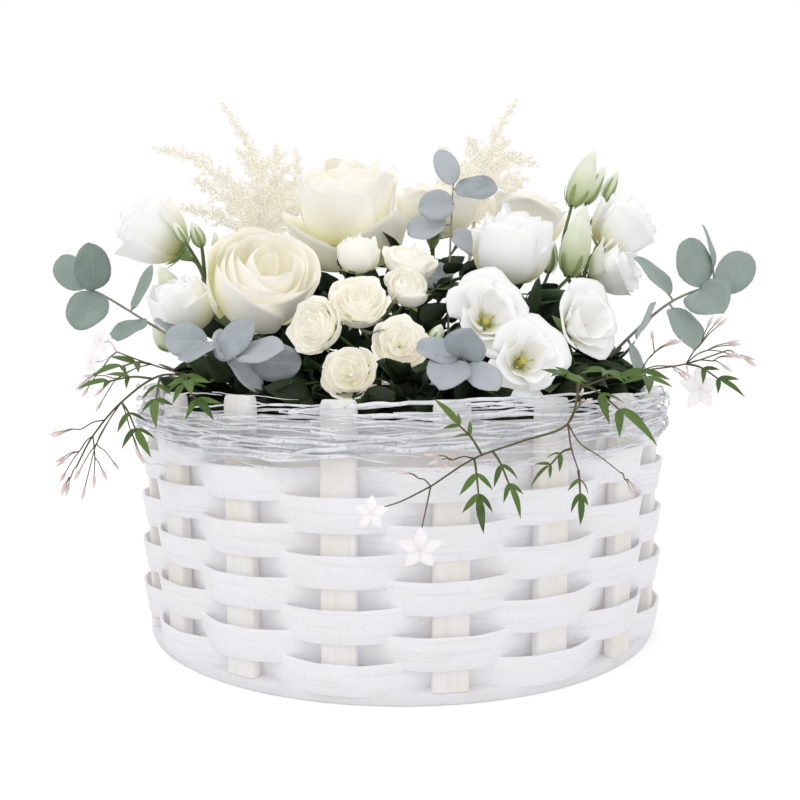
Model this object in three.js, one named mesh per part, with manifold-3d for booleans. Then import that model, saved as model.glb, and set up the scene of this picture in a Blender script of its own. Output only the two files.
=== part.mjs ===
// A round woven basket of whitewashed wood with a twig rim, filled with cut white flowers.
// Millimetres, +Z up. The origin is the centre of the base's underside, and the front faces -Y.
import * as THREE from "three";
import Module from "manifold-3d";

const wasm = await Module();
wasm.setup();

const V = (x, y, z) => new THREE.Vector3(x, y, z);
const DEG = Math.PI / 180;

// ---------------------------------------------------------------- driving dimensions: the basket
const GAP = 0.3; // between two pieces that touch
const BASE_RADIUS = 194;
const BASE_THICK = 8;
const STAKES = 18;
const STAKE_TURN = -1.3 * DEG; // from stakes that stand evenly about the front
const STAKE_WIDTH = 22.5;
const STAKE_THICK = 8;
const STAKE_FACE = 194; // axis to outer face
const STAKE_TOP = 183;
const ROW_EDGES = [151, 141, 124.2, 106.6, 89.4, 73.3, 57, 40.2, 23.6, BASE_THICK + GAP];
const ROW_SLACK = 0.4; // air above and below a splint
const ROW_RISE = 0.023; // the weave climbs towards the right by this slope
const SPLINT_THICK = 2.5;
const SPLINT_OUTSIDE = 199; // outer radius where it passes in front of a stake
const SPLINT_INSIDE = 181.6; // outer radius where it passes behind one
const SPLINT_BEND = 6 * DEG; // half the stretch that lies along the face of a stake
const TOP_ROW_SPAN = [42 * DEG, 330 * DEG]; // the top splint leaves the front open
const RIM_RADIUS = 198.7;
const RIM_MIDDLE = 166;
const RIM_SPACING = 5.4; // between the middles of two twigs
const RIM_SWING = 3.2; // how far a twig wanders up and down
const RIM_TWIGS = 4;
const RIM_STEPS = 20;
const RIM_SLOPE = 0.016;
const LINER_RADIUS = 178.4;
const LINER_SIDES = 20;
const LINER_WALL = 3;
const LINER_FLOOR = 4;
const LINER_TOP = 168;
const FOAM_EDGE = 157;
const FOAM_CROWN = 120; // radius of the flat top: the block is cut to a low mound
const FOAM_TOP = 172;

// ---------------------------------------------------------------- driving dimensions: the flowers
const ROSE_PETAL = 1.0;
const SMALL_PETAL = 0.8;
const LEAF_THICK = 0.8;
const FLORET_BUNCH = 8.5; // radius of the lowest bunch of florets on an astilbe's stalk
const HOLE_CLEARANCE = 0.35;
const FORK_HEIGHT = 176; // stems fork just above the foam

// A bloom: its place (centre of the open face), where it faces, and its radius and depth.
const LARGE_ROSES = {
  rose_left: { at: V(-92, -94, 262), faces: V(0.37, -0.74, 0.56), radius: 38, depth: 58, turn: 20 },
  rose_top: { at: V(-45, -2, 330), faces: V(-0.06, -0.3, 0.95), radius: 40, depth: 58, turn: -15 },
  rose_back_mid: { at: V(28, 62, 332), faces: V(0.05, -0.15, 1), radius: 33, depth: 44, turn: 40 },
  rose_back_right: { at: V(108, 60, 324), faces: V(0.25, -0.1, 0.96), radius: 32, depth: 44, turn: 5 },
};
const SPRAY_ROSES = {
  spray_rose_1: { at: V(-33, -152, 197), faces: V(-0.1, -0.95, 0.3), radius: 15.5, depth: 17, turn: 0 },
  spray_rose_2: { at: V(-1, -147, 215), faces: V(0.1, -0.9, 0.42), radius: 16, depth: 17, turn: 30 },
  spray_rose_3: { at: V(-57, -137, 226), faces: V(-0.5, -0.84, 0.2), radius: 16.5, depth: 17, turn: 60 },
  spray_rose_4: { at: V(-29, -118, 243), faces: V(0.05, -0.8, 0.6), radius: 17.5, depth: 18, turn: 15 },
  spray_rose_5: { at: V(5, -95, 253), faces: V(0.2, -0.75, 0.63), radius: 15, depth: 16, turn: 45 },
  spray_rose_6: { at: V(-31, -75, 280), faces: V(-0.05, -0.2, 0.97), radius: 15.5, depth: 24, turn: 10 },
  spray_rose_7: { at: V(7, -73, 274), faces: V(0.25, -0.35, 0.9), radius: 17.5, depth: 19, turn: 70 },
};
const LISIANTHUS = {
  lisianthus_1: { at: V(-186, -33, 296), faces: V(-0.81, -0.15, 0.56), radius: 27, depth: 48, turn: 0 },
  lisianthus_2: { at: V(-156, -82, 252), faces: V(-0.25, -0.3, 0.92), radius: 22.5, depth: 38, turn: 30 },
  lisianthus_3: { at: V(81, -54, 292), faces: V(0.1, -0.25, 0.96), radius: 28, depth: 50, turn: 12 },
  lisianthus_4: { at: V(57, -112, 239), faces: V(0.05, -0.92, 0.38), radius: 27, depth: 28, turn: 40 },
  lisianthus_5: { at: V(77, -152, 205), faces: V(0.15, -0.95, 0.25), radius: 24, depth: 26, turn: 8 },
  lisianthus_6: { at: V(124, -106, 229), faces: V(0.5, -0.8, 0.3), radius: 25, depth: 28, turn: 55 },
  lisianthus_7: { at: V(172, -24, 305), faces: V(0.68, -0.22, 0.7), radius: 25, depth: 42, turn: 25 },
  lisianthus_8: { at: V(163, -37, 269), faces: V(0.8, -0.48, 0.37), radius: 23, depth: 34, turn: 50 },
};

const FINISH = {
  splint: { color: 0xe6e3e6, roughness: 0.75, metalness: 0 },
  stake: { color: 0xe9e5dc, roughness: 0.7, metalness: 0 },
  twig: { color: 0xdfe0e6, roughness: 0.8, metalness: 0 },
  liner: { color: 0x5a4336, roughness: 0.85, metalness: 0 },
  foam: { color: 0x3f6b45, roughness: 0.95, metalness: 0 },
  cream: { color: 0xf6efdd, roughness: 0.55, metalness: 0 },
  white: { color: 0xf7f7f8, roughness: 0.5, metalness: 0 },
  ivory: { color: 0xefe6d2, roughness: 0.8, metalness: 0 },
  leaf: { color: 0x3f5a34, roughness: 0.5, metalness: 0 },
  bluegreen: { color: 0x93a3a8, roughness: 0.6, metalness: 0 },
  vine: { color: 0x5c7a3f, roughness: 0.5, metalness: 0 },
};

// ---------------------------------------------------------------- solids
// The same draws come back for the same seed.
function drawsFrom(seed) {
  let state = seed;
  return (low = 0, high = 1) => {
    state = (state * 1664525 + 1013904223) % 4294967296;
    return low + ((high - low) * state) / 4294967296;
  };
}

// A closed solid of points and triangles, turned outwards if it came out inside out.
function solidOf(points, triangles) {
  const vertProperties = new Float32Array(points.flatMap((p) => [p.x, p.y, p.z]));
  const outwards = signedVolume(points, triangles) > 0;
  const turned = triangles.map(([a, b, c]) => (outwards ? [a, b, c] : [a, c, b]));
  const triVerts = new Uint32Array(turned.flat());
  return new wasm.Manifold(new wasm.Mesh({ numProp: 3, vertProperties, triVerts }));
}

function signedVolume(points, triangles) {
  const cross = V(0, 0, 0);
  let sum = 0;
  for (const [a, b, c] of triangles) {
    cross.crossVectors(points[b], points[c]);
    sum += points[a].dot(cross);
  }
  return sum;
}

function joined(solids) {
  return solids.reduce((all, solid) => all.add(solid));
}

// The largest body of a solid: scraps that a cut leaves loose are dropped.
function largestBody(solid) {
  const bodies = solid.decompose();
  return bodies.reduce((best, body) => (body.volume() > best.volume() ? body : best));
}

function geometryOf(solid) {
  const { vertProperties, triVerts, numProp } = solid.getMesh();
  const position = new Float32Array((vertProperties.length / numProp) * 3);
  for (let i = 0; i < position.length / 3; i += 1) {
    position.set(vertProperties.subarray(i * numProp, i * numProp + 3), i * 3);
  }
  const geometry = new THREE.BufferGeometry();
  geometry.setAttribute("position", new THREE.BufferAttribute(position, 3));
  geometry.setIndex(new THREE.BufferAttribute(new Uint32Array(triVerts), 1));
  geometry.computeVertexNormals();
  return geometry;
}

// The solid with each point moved out along its normal, to clear a neighbour.
function grown(solid, by) {
  const geometry = geometryOf(solid);
  const position = geometry.getAttribute("position");
  const normal = geometry.getAttribute("normal");
  const points = [];
  for (let i = 0; i < position.count; i += 1) {
    const point = V(0, 0, 0).fromBufferAttribute(position, i);
    points.push(point.addScaledVector(V(0, 0, 0).fromBufferAttribute(normal, i), by));
  }
  const index = geometry.getIndex().array;
  const triangles = [];
  for (let i = 0; i < index.length; i += 3) {
    triangles.push([index[i], index[i + 1], index[i + 2]]);
  }
  return solidOf(points, triangles);
}

// Rings of points, joined one after another; the ends are closed unless the rings close on themselves.
function loft(rings, closed = false) {
  const count = rings[0].length;
  const points = rings.flat();
  const triangles = [];
  const spans = closed ? rings.length : rings.length - 1;
  for (let i = 0; i < spans; i += 1) {
    const here = i * count;
    const next = ((i + 1) % rings.length) * count;
    for (let j = 0; j < count; j += 1) {
      const k = (j + 1) % count;
      triangles.push([here + j, here + k, next + k], [here + j, next + k, next + j]);
    }
  }
  if (!closed) {
    const last = (rings.length - 1) * count;
    for (let j = 1; j < count - 1; j += 1) {
      triangles.push([0, j + 1, j], [last, last + j, last + j + 1]);
    }
  }
  return solidOf(points, triangles);
}

// A profile of [radius, height] pairs turned about the Z axis; a radius of 0 is a single point.
function turned(profile, sides) {
  const points = [];
  const rows = profile.map(([radius, height]) => {
    const start = points.length;
    const count = radius === 0 ? 1 : sides;
    for (let j = 0; j < count; j += 1) {
      const angle = (j / sides) * 2 * Math.PI;
      points.push(V(radius * Math.cos(angle), radius * Math.sin(angle), height));
    }
    return { start, count };
  });
  const triangles = [];
  for (let i = 0; i < rows.length - 1; i += 1) {
    const low = rows[i];
    const high = rows[i + 1];
    for (let j = 0; j < sides; j += 1) {
      const k = (j + 1) % sides;
      const a = low.start + (low.count === 1 ? 0 : j);
      const b = low.start + (low.count === 1 ? 0 : k);
      const c = high.start + (high.count === 1 ? 0 : k);
      const d = high.start + (high.count === 1 ? 0 : j);
      if (a !== b) triangles.push([a, b, c]);
      if (c !== d) triangles.push([a, c, d]);
    }
  }
  return solidOf(points, triangles);
}

// A limb along a path, with a radius at each point and a few sides.
function limb(path, radii, sides) {
  let across = V(0, 0, 0);
  const rings = path.map((point, i) => {
    const before = path[Math.max(i - 1, 0)];
    const after = path[Math.min(i + 1, path.length - 1)];
    const along = after.clone().sub(before).normalize();
    if (i === 0) {
      across = Math.abs(along.z) < 0.9 ? V(0, 0, 1).cross(along) : V(1, 0, 0).cross(along);
    }
    across.addScaledVector(along, -across.dot(along)).normalize();
    const other = along.clone().cross(across);
    return Array.from({ length: sides }, (_, j) => {
      const angle = (j / sides) * 2 * Math.PI;
      const ring = point.clone().addScaledVector(across, radii[i] * Math.cos(angle));
      return ring.addScaledVector(other, radii[i] * Math.sin(angle));
    });
  });
  return loft(rings);
}

// The mid-surface of a blade, as rows of points from its root to its tip, moved half its thickness
// to each side along its normal.
function bladeFaces(grid, thick) {
  const last = grid.length - 1;
  return [1, -1].map((side) =>
    grid.map((row, i) =>
      row.map((point, j) => {
        const along = grid[Math.min(i + 1, last)][j].clone().sub(grid[Math.max(i - 1, 0)][j]);
        const across = row[Math.min(j + 1, row.length - 1)].clone().sub(row[Math.max(j - 1, 0)]);
        const normal = along.cross(across).normalize();
        return point.clone().addScaledVector(normal, (side * thick) / 2);
      }),
    ),
  );
}

// A frame at a point whose +Z looks along a direction, with a turn about it.
function frameAt(point, direction, turn = 0) {
  const z = direction.clone().normalize();
  const x = Math.abs(z.z) < 0.95 ? V(0, 0, 1).cross(z).normalize() : V(1, 0, 0);
  x.addScaledVector(z, -x.dot(z)).normalize();
  const y = z.clone().cross(x);
  const frame = new THREE.Matrix4().makeBasis(x, y, z).setPosition(point);
  return frame.multiply(new THREE.Matrix4().makeRotationZ(turn));
}

function placed(solid, frame) {
  return solid.transform(frame.elements);
}

// ---------------------------------------------------------------- the basket
function stakeAngle(index) {
  return STAKE_TURN + ((index + 0.5) / STAKES) * 2 * Math.PI;
}

// A point of the basket's wall: angle is counted from the front towards the right.
function onWall(angle, radius, height) {
  return V(radius * Math.sin(angle), -radius * Math.cos(angle), height);
}

function rise(angle, height) {
  const share = Math.min(1, Math.max(0, (height - BASE_THICK - 1) / 40));
  return height + ROW_RISE * STAKE_FACE * Math.sin(angle) * share;
}

function baseBoard() {
  return turned([[0, 0], [BASE_RADIUS, 0], [BASE_RADIUS, BASE_THICK], [0, BASE_THICK]], 32);
}

function stake(index) {
  const angle = stakeAngle(index);
  const half = STAKE_WIDTH / 2;
  const inner = STAKE_FACE - STAKE_THICK;
  const outline = [
    [-half, inner],
    [half, inner],
    [half, STAKE_FACE],
    [-half, STAKE_FACE],
  ];
  const right = V(Math.cos(angle), Math.sin(angle), 0);
  const out = V(Math.sin(angle), -Math.cos(angle), 0);
  const ring = (height) =>
    outline.map(([across, outwards]) => {
      const point = right.clone().multiplyScalar(across);
      return point.addScaledVector(out, outwards).setZ(height);
    });
  return loft([ring(BASE_THICK + GAP), ring(STAKE_TOP)]);
}

// One splint: it passes in front of every second stake and behind the others.
function splint(row) {
  const full = row > 1;
  const rings = [];
  for (let i = 0; i < STAKES; i += 1) {
    const inFront = (i + row) % 2 === 0;
    const outer = inFront ? SPLINT_OUTSIDE : SPLINT_INSIDE;
    for (const bend of inFront ? [-SPLINT_BEND, SPLINT_BEND] : [0]) {
      const angle = stakeAngle(i) + bend;
      if (!full && (angle < TOP_ROW_SPAN[0] || angle > TOP_ROW_SPAN[1])) continue;
      const top = rise(angle, ROW_EDGES[row - 1]) - ROW_SLACK;
      const lowest = row === ROW_EDGES.length - 1;
      const bottom = lowest ? ROW_EDGES[row] : rise(angle, ROW_EDGES[row]) + ROW_SLACK;
      rings.push([
        onWall(angle, outer, bottom),
        onWall(angle, outer, top),
        onWall(angle, outer - SPLINT_THICK, top),
        onWall(angle, outer - SPLINT_THICK, bottom),
      ]);
    }
  }
  return loft(rings, full);
}

// The rim: thin twigs that wander round the outside of the stakes, each gripped by the next.
function twigRim() {
  const draw = drawsFrom(11);
  const twigs = Array.from({ length: RIM_TWIGS }, (_, i) => {
    const level = RIM_MIDDLE + (i - (RIM_TWIGS - 1) / 2) * RIM_SPACING;
    const start = Math.PI * i + draw(-0.5, 0.5);
    const lean = draw(0, 2 * Math.PI);
    const thick = draw(2.1, 2.6);
    const rings = Array.from({ length: RIM_STEPS }, (_, step) => {
      const angle = (step / RIM_STEPS) * 2 * Math.PI;
      const out = RIM_RADIUS + 0.5 * Math.sin(angle * 4 + lean);
      const wander = RIM_SWING * Math.sin(angle + start);
      const height = level + wander + RIM_SLOPE * RIM_RADIUS * Math.sin(angle);
      return [
        onWall(angle, out + thick, height),
        onWall(angle, out - thick / 2, height + thick * 0.87),
        onWall(angle, out - thick / 2, height - thick * 0.87),
      ];
    });
    return loft(rings, true);
  });
  return largestBody(joined(twigs));
}

function liner() {
  const inner = LINER_RADIUS - LINER_WALL;
  const bottom = BASE_THICK + GAP;
  const floor = bottom + LINER_FLOOR;
  const outside = [[0, bottom], [LINER_RADIUS, bottom], [LINER_RADIUS, LINER_TOP]];
  const inside = [[inner, LINER_TOP], [inner, floor], [0, floor]];
  return turned([...outside, ...inside], LINER_SIDES);
}

// The block of wet foam that fills the liner, with a hole for each stem.
function floralFoam(stems) {
  const radius = LINER_RADIUS - LINER_WALL - GAP;
  const bottom = BASE_THICK + LINER_FLOOR + 2 * GAP;
  const mound = [[radius, FOAM_EDGE], [FOAM_CROWN, FOAM_TOP], [0, FOAM_TOP]];
  const block = turned([[0, bottom], [radius, bottom], ...mound], LINER_SIDES);
  return stems.reduce((foam, stem) => foam.subtract(stem), block);
}

// ---------------------------------------------------------------- blooms
// Points and triangles that a bloom is built up from.
class Shell {
  points = [];
  triangles = [];

  add(point) {
    return this.points.push(point) - 1;
  }

  // A ring of points below a tip, or above a foot.
  cone(ring, tip, foot = false) {
    const end = this.add(tip);
    ring.forEach((here, i) => {
      const next = ring[(i + 1) % ring.length];
      this.triangles.push(foot ? [end, next, here] : [here, next, end]);
    });
  }

  // The wall between two rings that run the same way round, with unlike numbers of points.
  wall(low, high) {
    const angle = (i) => Math.atan2(this.points[i].y, this.points[i].x);
    const zero = angle(low[0]);
    const turnOf = (i) => (angle(i) - zero + 4 * Math.PI) % (2 * Math.PI);
    const first = high.reduce((best, _, j) => (turnOf(high[j]) < turnOf(high[best]) ? j : best), 0);
    const upper = [...high.slice(first), ...high.slice(0, first)];
    let [i, j] = [0, 0];
    while (i < low.length || j < upper.length) {
      const here = low[i % low.length];
      const above = upper[j % upper.length];
      const nextLow = i + 1 < low.length ? turnOf(low[i + 1]) : 2 * Math.PI;
      const nextHigh = j + 1 < upper.length ? turnOf(upper[j + 1]) : 2 * Math.PI + turnOf(upper[0]);
      if (i < low.length && (j >= upper.length || nextLow <= nextHigh)) {
        i += 1;
        this.triangles.push([here, low[i % low.length], above]);
      } else {
        j += 1;
        this.triangles.push([here, upper[j % upper.length], above]);
      }
    }
  }

  // A petal between its upper and lower faces, open at its root.
  petal(upper, lower) {
    const rows = upper.length - 1;
    const columns = upper[0].length - 1;
    for (let i = 0; i < rows; i += 1) {
      for (let j = 0; j < columns; j += 1) {
        for (const [face, turned] of [[upper, true], [lower, false]]) {
          const [a, b, c, d] = [face[i][j], face[i][j + 1], face[i + 1][j + 1], face[i + 1][j]];
          this.triangles.push(turned ? [a, c, b] : [a, b, c], turned ? [a, d, c] : [a, c, d]);
        }
      }
    }
    const rim = [];
    for (let i = 0; i <= rows; i += 1) rim.push([i, columns]);
    for (let j = columns - 1; j >= 0; j -= 1) rim.push([rows, j]);
    for (let i = rows - 1; i >= 0; i -= 1) rim.push([i, 0]);
    for (let k = 0; k < rim.length - 1; k += 1) {
      const [[i, j], [m, n]] = [rim[k], rim[k + 1]];
      this.triangles.push([upper[i][j], upper[m][n], lower[m][n]]);
      this.triangles.push([upper[i][j], lower[m][n], lower[i][j]]);
    }
  }

  // A whorl of petals round the axis. Each line of the profile is [radius, height, half width]; every
  // petal has one edge a little further out than the other. Gives the rings under and over its roots.
  whorl({ count, profile, start, columns = 2, thick, droop = 0, wave = 0 }) {
    const over = 0.1;
    const rows = profile.length - 1;
    const rings = { under: [], over: [] };
    for (let k = 0; k < count; k += 1) {
      const middle = start + (k / count) * 2 * Math.PI;
      const grid = profile.map(([radius, height, width], i) =>
        Array.from({ length: columns + 1 }, (_, j) => {
          const s = (2 * j) / columns - 1;
          const t = i / rows;
          const angle = middle + s * width;
          const reach = radius * (1 + over * s * Math.sign(t)) - droop * s * s * t * 0.5;
          const lift = height - droop * s * s * t + wave * t * Math.sin(s * 4.5 + k * 2);
          return V(reach * Math.cos(angle), reach * Math.sin(angle), lift);
        }),
      );
      const numbered = (face) => face.map((row) => row.map((point) => this.add(point)));
      const [upper, lower] = bladeFaces(grid, thick).map(numbered);
      this.petal(upper, lower);
      if (k > 0) this.gap(rings, upper[0][0], lower[0][0]);
      rings.over.push(...upper[0]);
      rings.under.push(...lower[0]);
    }
    this.gap(rings, rings.over[0], rings.under[0]);
    return rings;
  }

  // The short wall between the root of one petal and the next.
  gap(rings, nextUpper, nextLower) {
    const [upper, lower] = [rings.over.at(-1), rings.under.at(-1)];
    this.triangles.push([lower, nextLower, nextUpper], [lower, nextUpper, upper]);
  }
}

// A bloom in one piece: whorl above whorl of petals round a slim core, from its foot to its tip.
function bloomOf(whorls, height) {
  const shell = new Shell();
  let below = null;
  for (const item of whorls) {
    const rings = shell.whorl(item);
    if (below === null) shell.cone(rings.under, V(0, 0, 0), true);
    else shell.wall(below, rings.under);
    below = rings.over;
  }
  shell.cone(below, V(0, 0, height));
  return solidOf(shell.points, shell.triangles);
}

// A large garden rose: wide guard petals, two whorls inside them and a furled heart.
function largeRose({ radius: r, depth: d, turn }) {
  const start = turn * DEG;
  const thick = ROSE_PETAL;
  const guard = [[0.1 * r, 0.08 * d, 0.45], [0.66 * r, 0.2 * d, 0.6], [1.02 * r, 0.44 * d, 0.48]];
  const second = [[0.12 * r, 0.22 * d, 0.45], [0.56 * r, 0.4 * d, 0.6], [0.78 * r, 0.72 * d, 0.48]];
  const third = [[0.14 * r, 0.38 * d, 0.5], [0.42 * r, 0.56 * d, 0.72], [0.54 * r, 0.88 * d, 0.58]];
  const inner = [[0.14 * r, 0.56 * d, 0.6], [0.27 * r, 0.68 * d, 0.96], [0.31 * r, 0.99 * d, 0.74]];
  return bloomOf([
    { count: 5, profile: guard, start, thick, droop: 0.1 * r },
    { count: 5, profile: second, start: start + 0.6, thick, droop: 0.12 * r },
    { count: 4, profile: third, start: start + 0.1, columns: 1, thick },
    { count: 3, profile: inner, start: start + 0.9, columns: 1, thick },
  ], 0.94 * d);
}

// A small rose of a spray: five outer petals round a half-open heart.
function sprayRose({ radius: r, depth: d, turn }) {
  const start = turn * DEG;
  const thick = SMALL_PETAL;
  const outer = [[0.16 * r, 0.1 * d, 0.45], [0.68 * r, 0.3 * d, 0.6], [1.0 * r, 0.54 * d, 0.46]];
  const inner = [[0.2 * r, 0.36 * d, 0.6], [0.52 * r, 0.58 * d, 0.74], [0.56 * r, 0.96 * d, 0.58]];
  return bloomOf([
    { count: 5, profile: outer, start, columns: 1, thick },
    { count: 4, profile: inner, start: start + 0.5, columns: 1, thick },
  ], 0.9 * d);
}

// A lisianthus: a funnel of broad waved petals, the inner ones more upright, round a green throat.
function lisianthus({ radius: r, depth: d, turn }) {
  const start = turn * DEG;
  const thick = SMALL_PETAL;
  const outer = [[0.1 * r, 0.06 * d, 0.45], [0.46 * r, 0.4 * d, 0.6], [1.0 * r, 0.76 * d, 0.52]];
  const inner = [[0.12 * r, 0.26 * d, 0.6], [0.38 * r, 0.56 * d, 0.94], [0.66 * r, 0.98 * d, 0.74]];
  return bloomOf([
    { count: 5, profile: outer, start, thick, droop: 0.1 * r, wave: 0.05 * r },
    { count: 3, profile: inner, start: start + 0.55, columns: 1, thick },
  ], 0.66 * d);
}

// The foot of a bloom, where its stem ends, lies behind its face.
function footOf({ at, faces, depth }) {
  return at.clone().addScaledVector(faces.clone().normalize(), -0.7 * depth);
}

function bloomAt(shape, bloom) {
  return placed(shape(bloom), frameAt(footOf(bloom), bloom.faces));
}

// The room that a bloom takes, which leaves and stems of other pieces stay out of.
function roomOf(bloom) {
  const { radius: r, depth: d } = bloom;
  const low = -0.01 * d;
  const cup = [[0, low], [0.2 * r, low], [0.74 * r, 0.14 * d], [1.1 * r, 0.42 * d]];
  return bloomAt(() => turned([...cup, [1.04 * r, 1.05 * d], [0, 1.05 * d]], 8), bloom);
}

// ---------------------------------------------------------------- stems and leaves
// A thin plate with an outline of [along, across] pairs, laid on a bent surface that faces one way.
function plate(outline, surface, face, thick = LEAF_THICK) {
  const flat = outline.map(([x, y]) => new THREE.Vector2(x, y));
  const count = outline.length;
  const points = [1, -1].flatMap((side) =>
    outline.map(([x, y]) => surface(x, y).addScaledVector(face, (side * thick) / 2)),
  );
  const triangles = [];
  for (const [a, b, c] of THREE.ShapeUtils.triangulateShape(flat, [])) {
    const anticlockwise = flat[b].clone().sub(flat[a]).cross(flat[c].clone().sub(flat[a])) > 0;
    const [p, q] = anticlockwise ? [b, c] : [c, b];
    triangles.push([a, p, q], [count + a, count + q, count + p]);
  }
  for (let i = 0; i < count; i += 1) {
    const j = (i + 1) % count;
    triangles.push([i, count + i, count + j], [i, count + j, j]);
  }
  return solidOf(points, triangles);
}

// A leaf from a root to a tip. The outline runs anticlockwise, with x from 0 to 1 along the leaf
// and y in half widths; the leaf is folded along its rib and its tip bends back.
function leafOf(outline, root, tip, width, { up = V(0, 0, 1), fold = 0.2, arch = 0.12 } = {}) {
  const along = tip.clone().sub(root);
  const side = up.clone().cross(along).normalize();
  const face = along.clone().cross(side).normalize();
  const long = along.length();
  const surface = (x, y) => {
    const point = root.clone().addScaledVector(along, x).addScaledVector(side, (y * width) / 2);
    return point.addScaledVector(face, (fold * Math.abs(y) * width) / 2 - arch * long * x * x);
  };
  return plate(outline, surface, face);
}

// A leaf on its stalk: the stalk takes the first part of the outline, the blade the rest.
const STALKED = [[0, 0], [0.36, -0.08], [0.66, -1], [1, 0], [0.66, 1], [0.36, 0.08]];
const SEPAL = [[0, 0], [0.42, -1], [1, 0], [0.42, 1]];
// Half of a rose leaf: two leaflets at the side of the rib and half of the one at its end.
const ROSE_HALF = [
  [0.3, -0.06],
  [0.42, -1],
  [0.54, -0.08],
  [0.72, -0.95],
  [0.74, -0.1],
  [0.86, -0.42],
];
const ROSE_LEAF = [[0, 0], ...ROSE_HALF, [1, 0], ...ROSE_HALF.map(([x, y]) => [x, -y]).reverse()];

// A round leaf about a middle, on a stalk that starts at the stem.
function roundLeaf(start, middle, radius, up) {
  const stalk = middle.clone().sub(start);
  const long = stalk.length() + radius;
  const corners = 6;
  const outline = [[0, 0]];
  for (let i = 0; i < corners; i += 1) {
    const angle = -Math.PI + ((i + 0.5) / corners) * 2 * Math.PI;
    outline.push([1 - radius / long + (radius / long) * Math.cos(angle), Math.sin(angle)]);
  }
  const end = start.clone().add(stalk.setLength(long));
  return leafOf(outline, start, end, 1.9 * radius, { up, fold: 0.16, arch: 0 });
}

// The stem up to a bloom, which widens into its green cup, and its sepals.
function bloomStem(from, bloom, { thick = 1.8, sepals = 0, long = 0.5, back = 0.8 } = {}) {
  const face = bloom.faces.clone().normalize();
  const foot = footOf(bloom).addScaledVector(face, -GAP - 0.01 * bloom.depth);
  const neck = foot.clone().addScaledVector(face, -back * bloom.depth);
  const cup = 0.13 * bloom.radius + 1;
  const collar = foot.clone().addScaledVector(face, -1.8 * cup);
  const frame = frameAt(foot, face, 0.3);
  const parts = [limb([from, neck, collar, foot], [thick, thick, 0.9 * thick, cup], 3)];
  for (let i = 0; i < sepals; i += 1) {
    const angle = (i / sepals) * 2 * Math.PI + 0.4;
    const reach = long * bloom.radius;
    const root = V(0.3 * cup * Math.cos(angle), 0.3 * cup * Math.sin(angle), -0.7 * cup);
    const far = cup + reach;
    const tip = V(far * Math.cos(angle), far * Math.sin(angle), -0.7 * cup - 0.15 * reach);
    parts.push(placed(leafOf(SEPAL, root, tip, 0.4 * reach + 2), frame));
  }
  return parts;
}

// A main stem: from its cut end in the foam, past the fork, to its crown. Branches and leaves
// start one above another between the fork and the crown.
function mainStem(root, fork, crown, thick) {
  const hole = thick + HOLE_CLEARANCE;
  return {
    stem: limb([root, fork, crown], [thick, thick, 0.8 * thick], 5),
    hole: limb([root, fork], [hole, hole], 5),
    at: (share) => fork.clone().lerp(crown, share),
  };
}

// A closed bud on a thin stem.
function bud(from, foot, tip, radius) {
  const path = [from, foot, foot.clone().lerp(tip, 0.28), foot.clone().lerp(tip, 0.6), tip];
  return limb(path, [1.3, 1.2, radius, 0.9 * radius, 0.4], 4);
}

// Leaves that fan out from a main stem, low between the blooms and the rim.
function skirt(stem, leaves, outline = STALKED) {
  return leaves.map(([degrees, reach, height, width], i) => {
    const tip = onWall(degrees * DEG, reach, height);
    return leafOf(outline, stem.at((i + 0.6) / (leaves.length + 1)), tip, width, { arch: 0.1 });
  });
}

const forkAt = (x, y) => V(x, y, FORK_HEIGHT);

function roseLeftStem() {
  const main = mainStem(V(-46, -34, 82), forkAt(-62, -52), V(-70, -54, 206), 2.8);
  const bloom = bloomStem(main.at(0.9), LARGE_ROSES.rose_left, { thick: 2.4, sepals: 3, back: 0.6 });
  const stalks = [main.stem, ...bloom];
  const leaves = skirt(main, [
    [-46, 172, 192, 62],
    [-74, 174, 196, 66],
  ], ROSE_LEAF);
  return { hole: main.hole, stalks, leaves };
}

function roseBackStems() {
  const main = mainStem(V(4, 30, 70), forkAt(12, 44), V(14, 50, 240), 3.4);
  const { rose_top: top, rose_back_mid: middle, rose_back_right: right } = LARGE_ROSES;
  const stalks = [
    main.stem,
    ...bloomStem(main.at(0.75), top, { thick: 2.6 }),
    ...bloomStem(main.at(0.95), middle, { thick: 2.6 }),
    ...bloomStem(main.at(0.85), right, { thick: 2.6 }),
  ];
  const leaves = skirt(main, [
    [112, 174, 194, 78],
    [222, 176, 196, 80],
    [142, 178, 202, 82],
    [198, 178, 200, 82],
    [170, 176, 212, 82],
    [100, 150, 214, 66],
    [232, 136, 230, 66],
    [128, 136, 256, 66],
    [206, 136, 260, 66],
    [166, 132, 276, 66],
    [186, 150, 240, 66],
  ], ROSE_LEAF);
  return { hole: main.hole, stalks, leaves };
}

function sprayRoseStems() {
  const main = mainStem(V(-8, -52, 78), forkAt(-16, -84), V(-18, -78, 236), 2.6);
  const heads = Object.values(SPRAY_ROSES);
  const starts = [0.06, 0.2, 0.34, 0.5, 0.66, 0.97, 0.82];
  const stalks = heads.flatMap((bloom, i) => {
    const sepals = i === 5 ? 3 : 0;
    return bloomStem(main.at(starts[i]), bloom, { thick: 1.3, sepals, long: 0.7, back: 0.7 });
  });
  stalks.push(main.stem, bud(main.at(0.28), V(20, -128, 214), V(25, -136, 226), 5.5));
  const leaves = skirt(main, [
    [-30, 178, 188, 58],
    [-8, 180, 190, 54],
    [12, 178, 194, 54],
  ], ROSE_LEAF);
  return { hole: main.hole, stalks, leaves };
}

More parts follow.
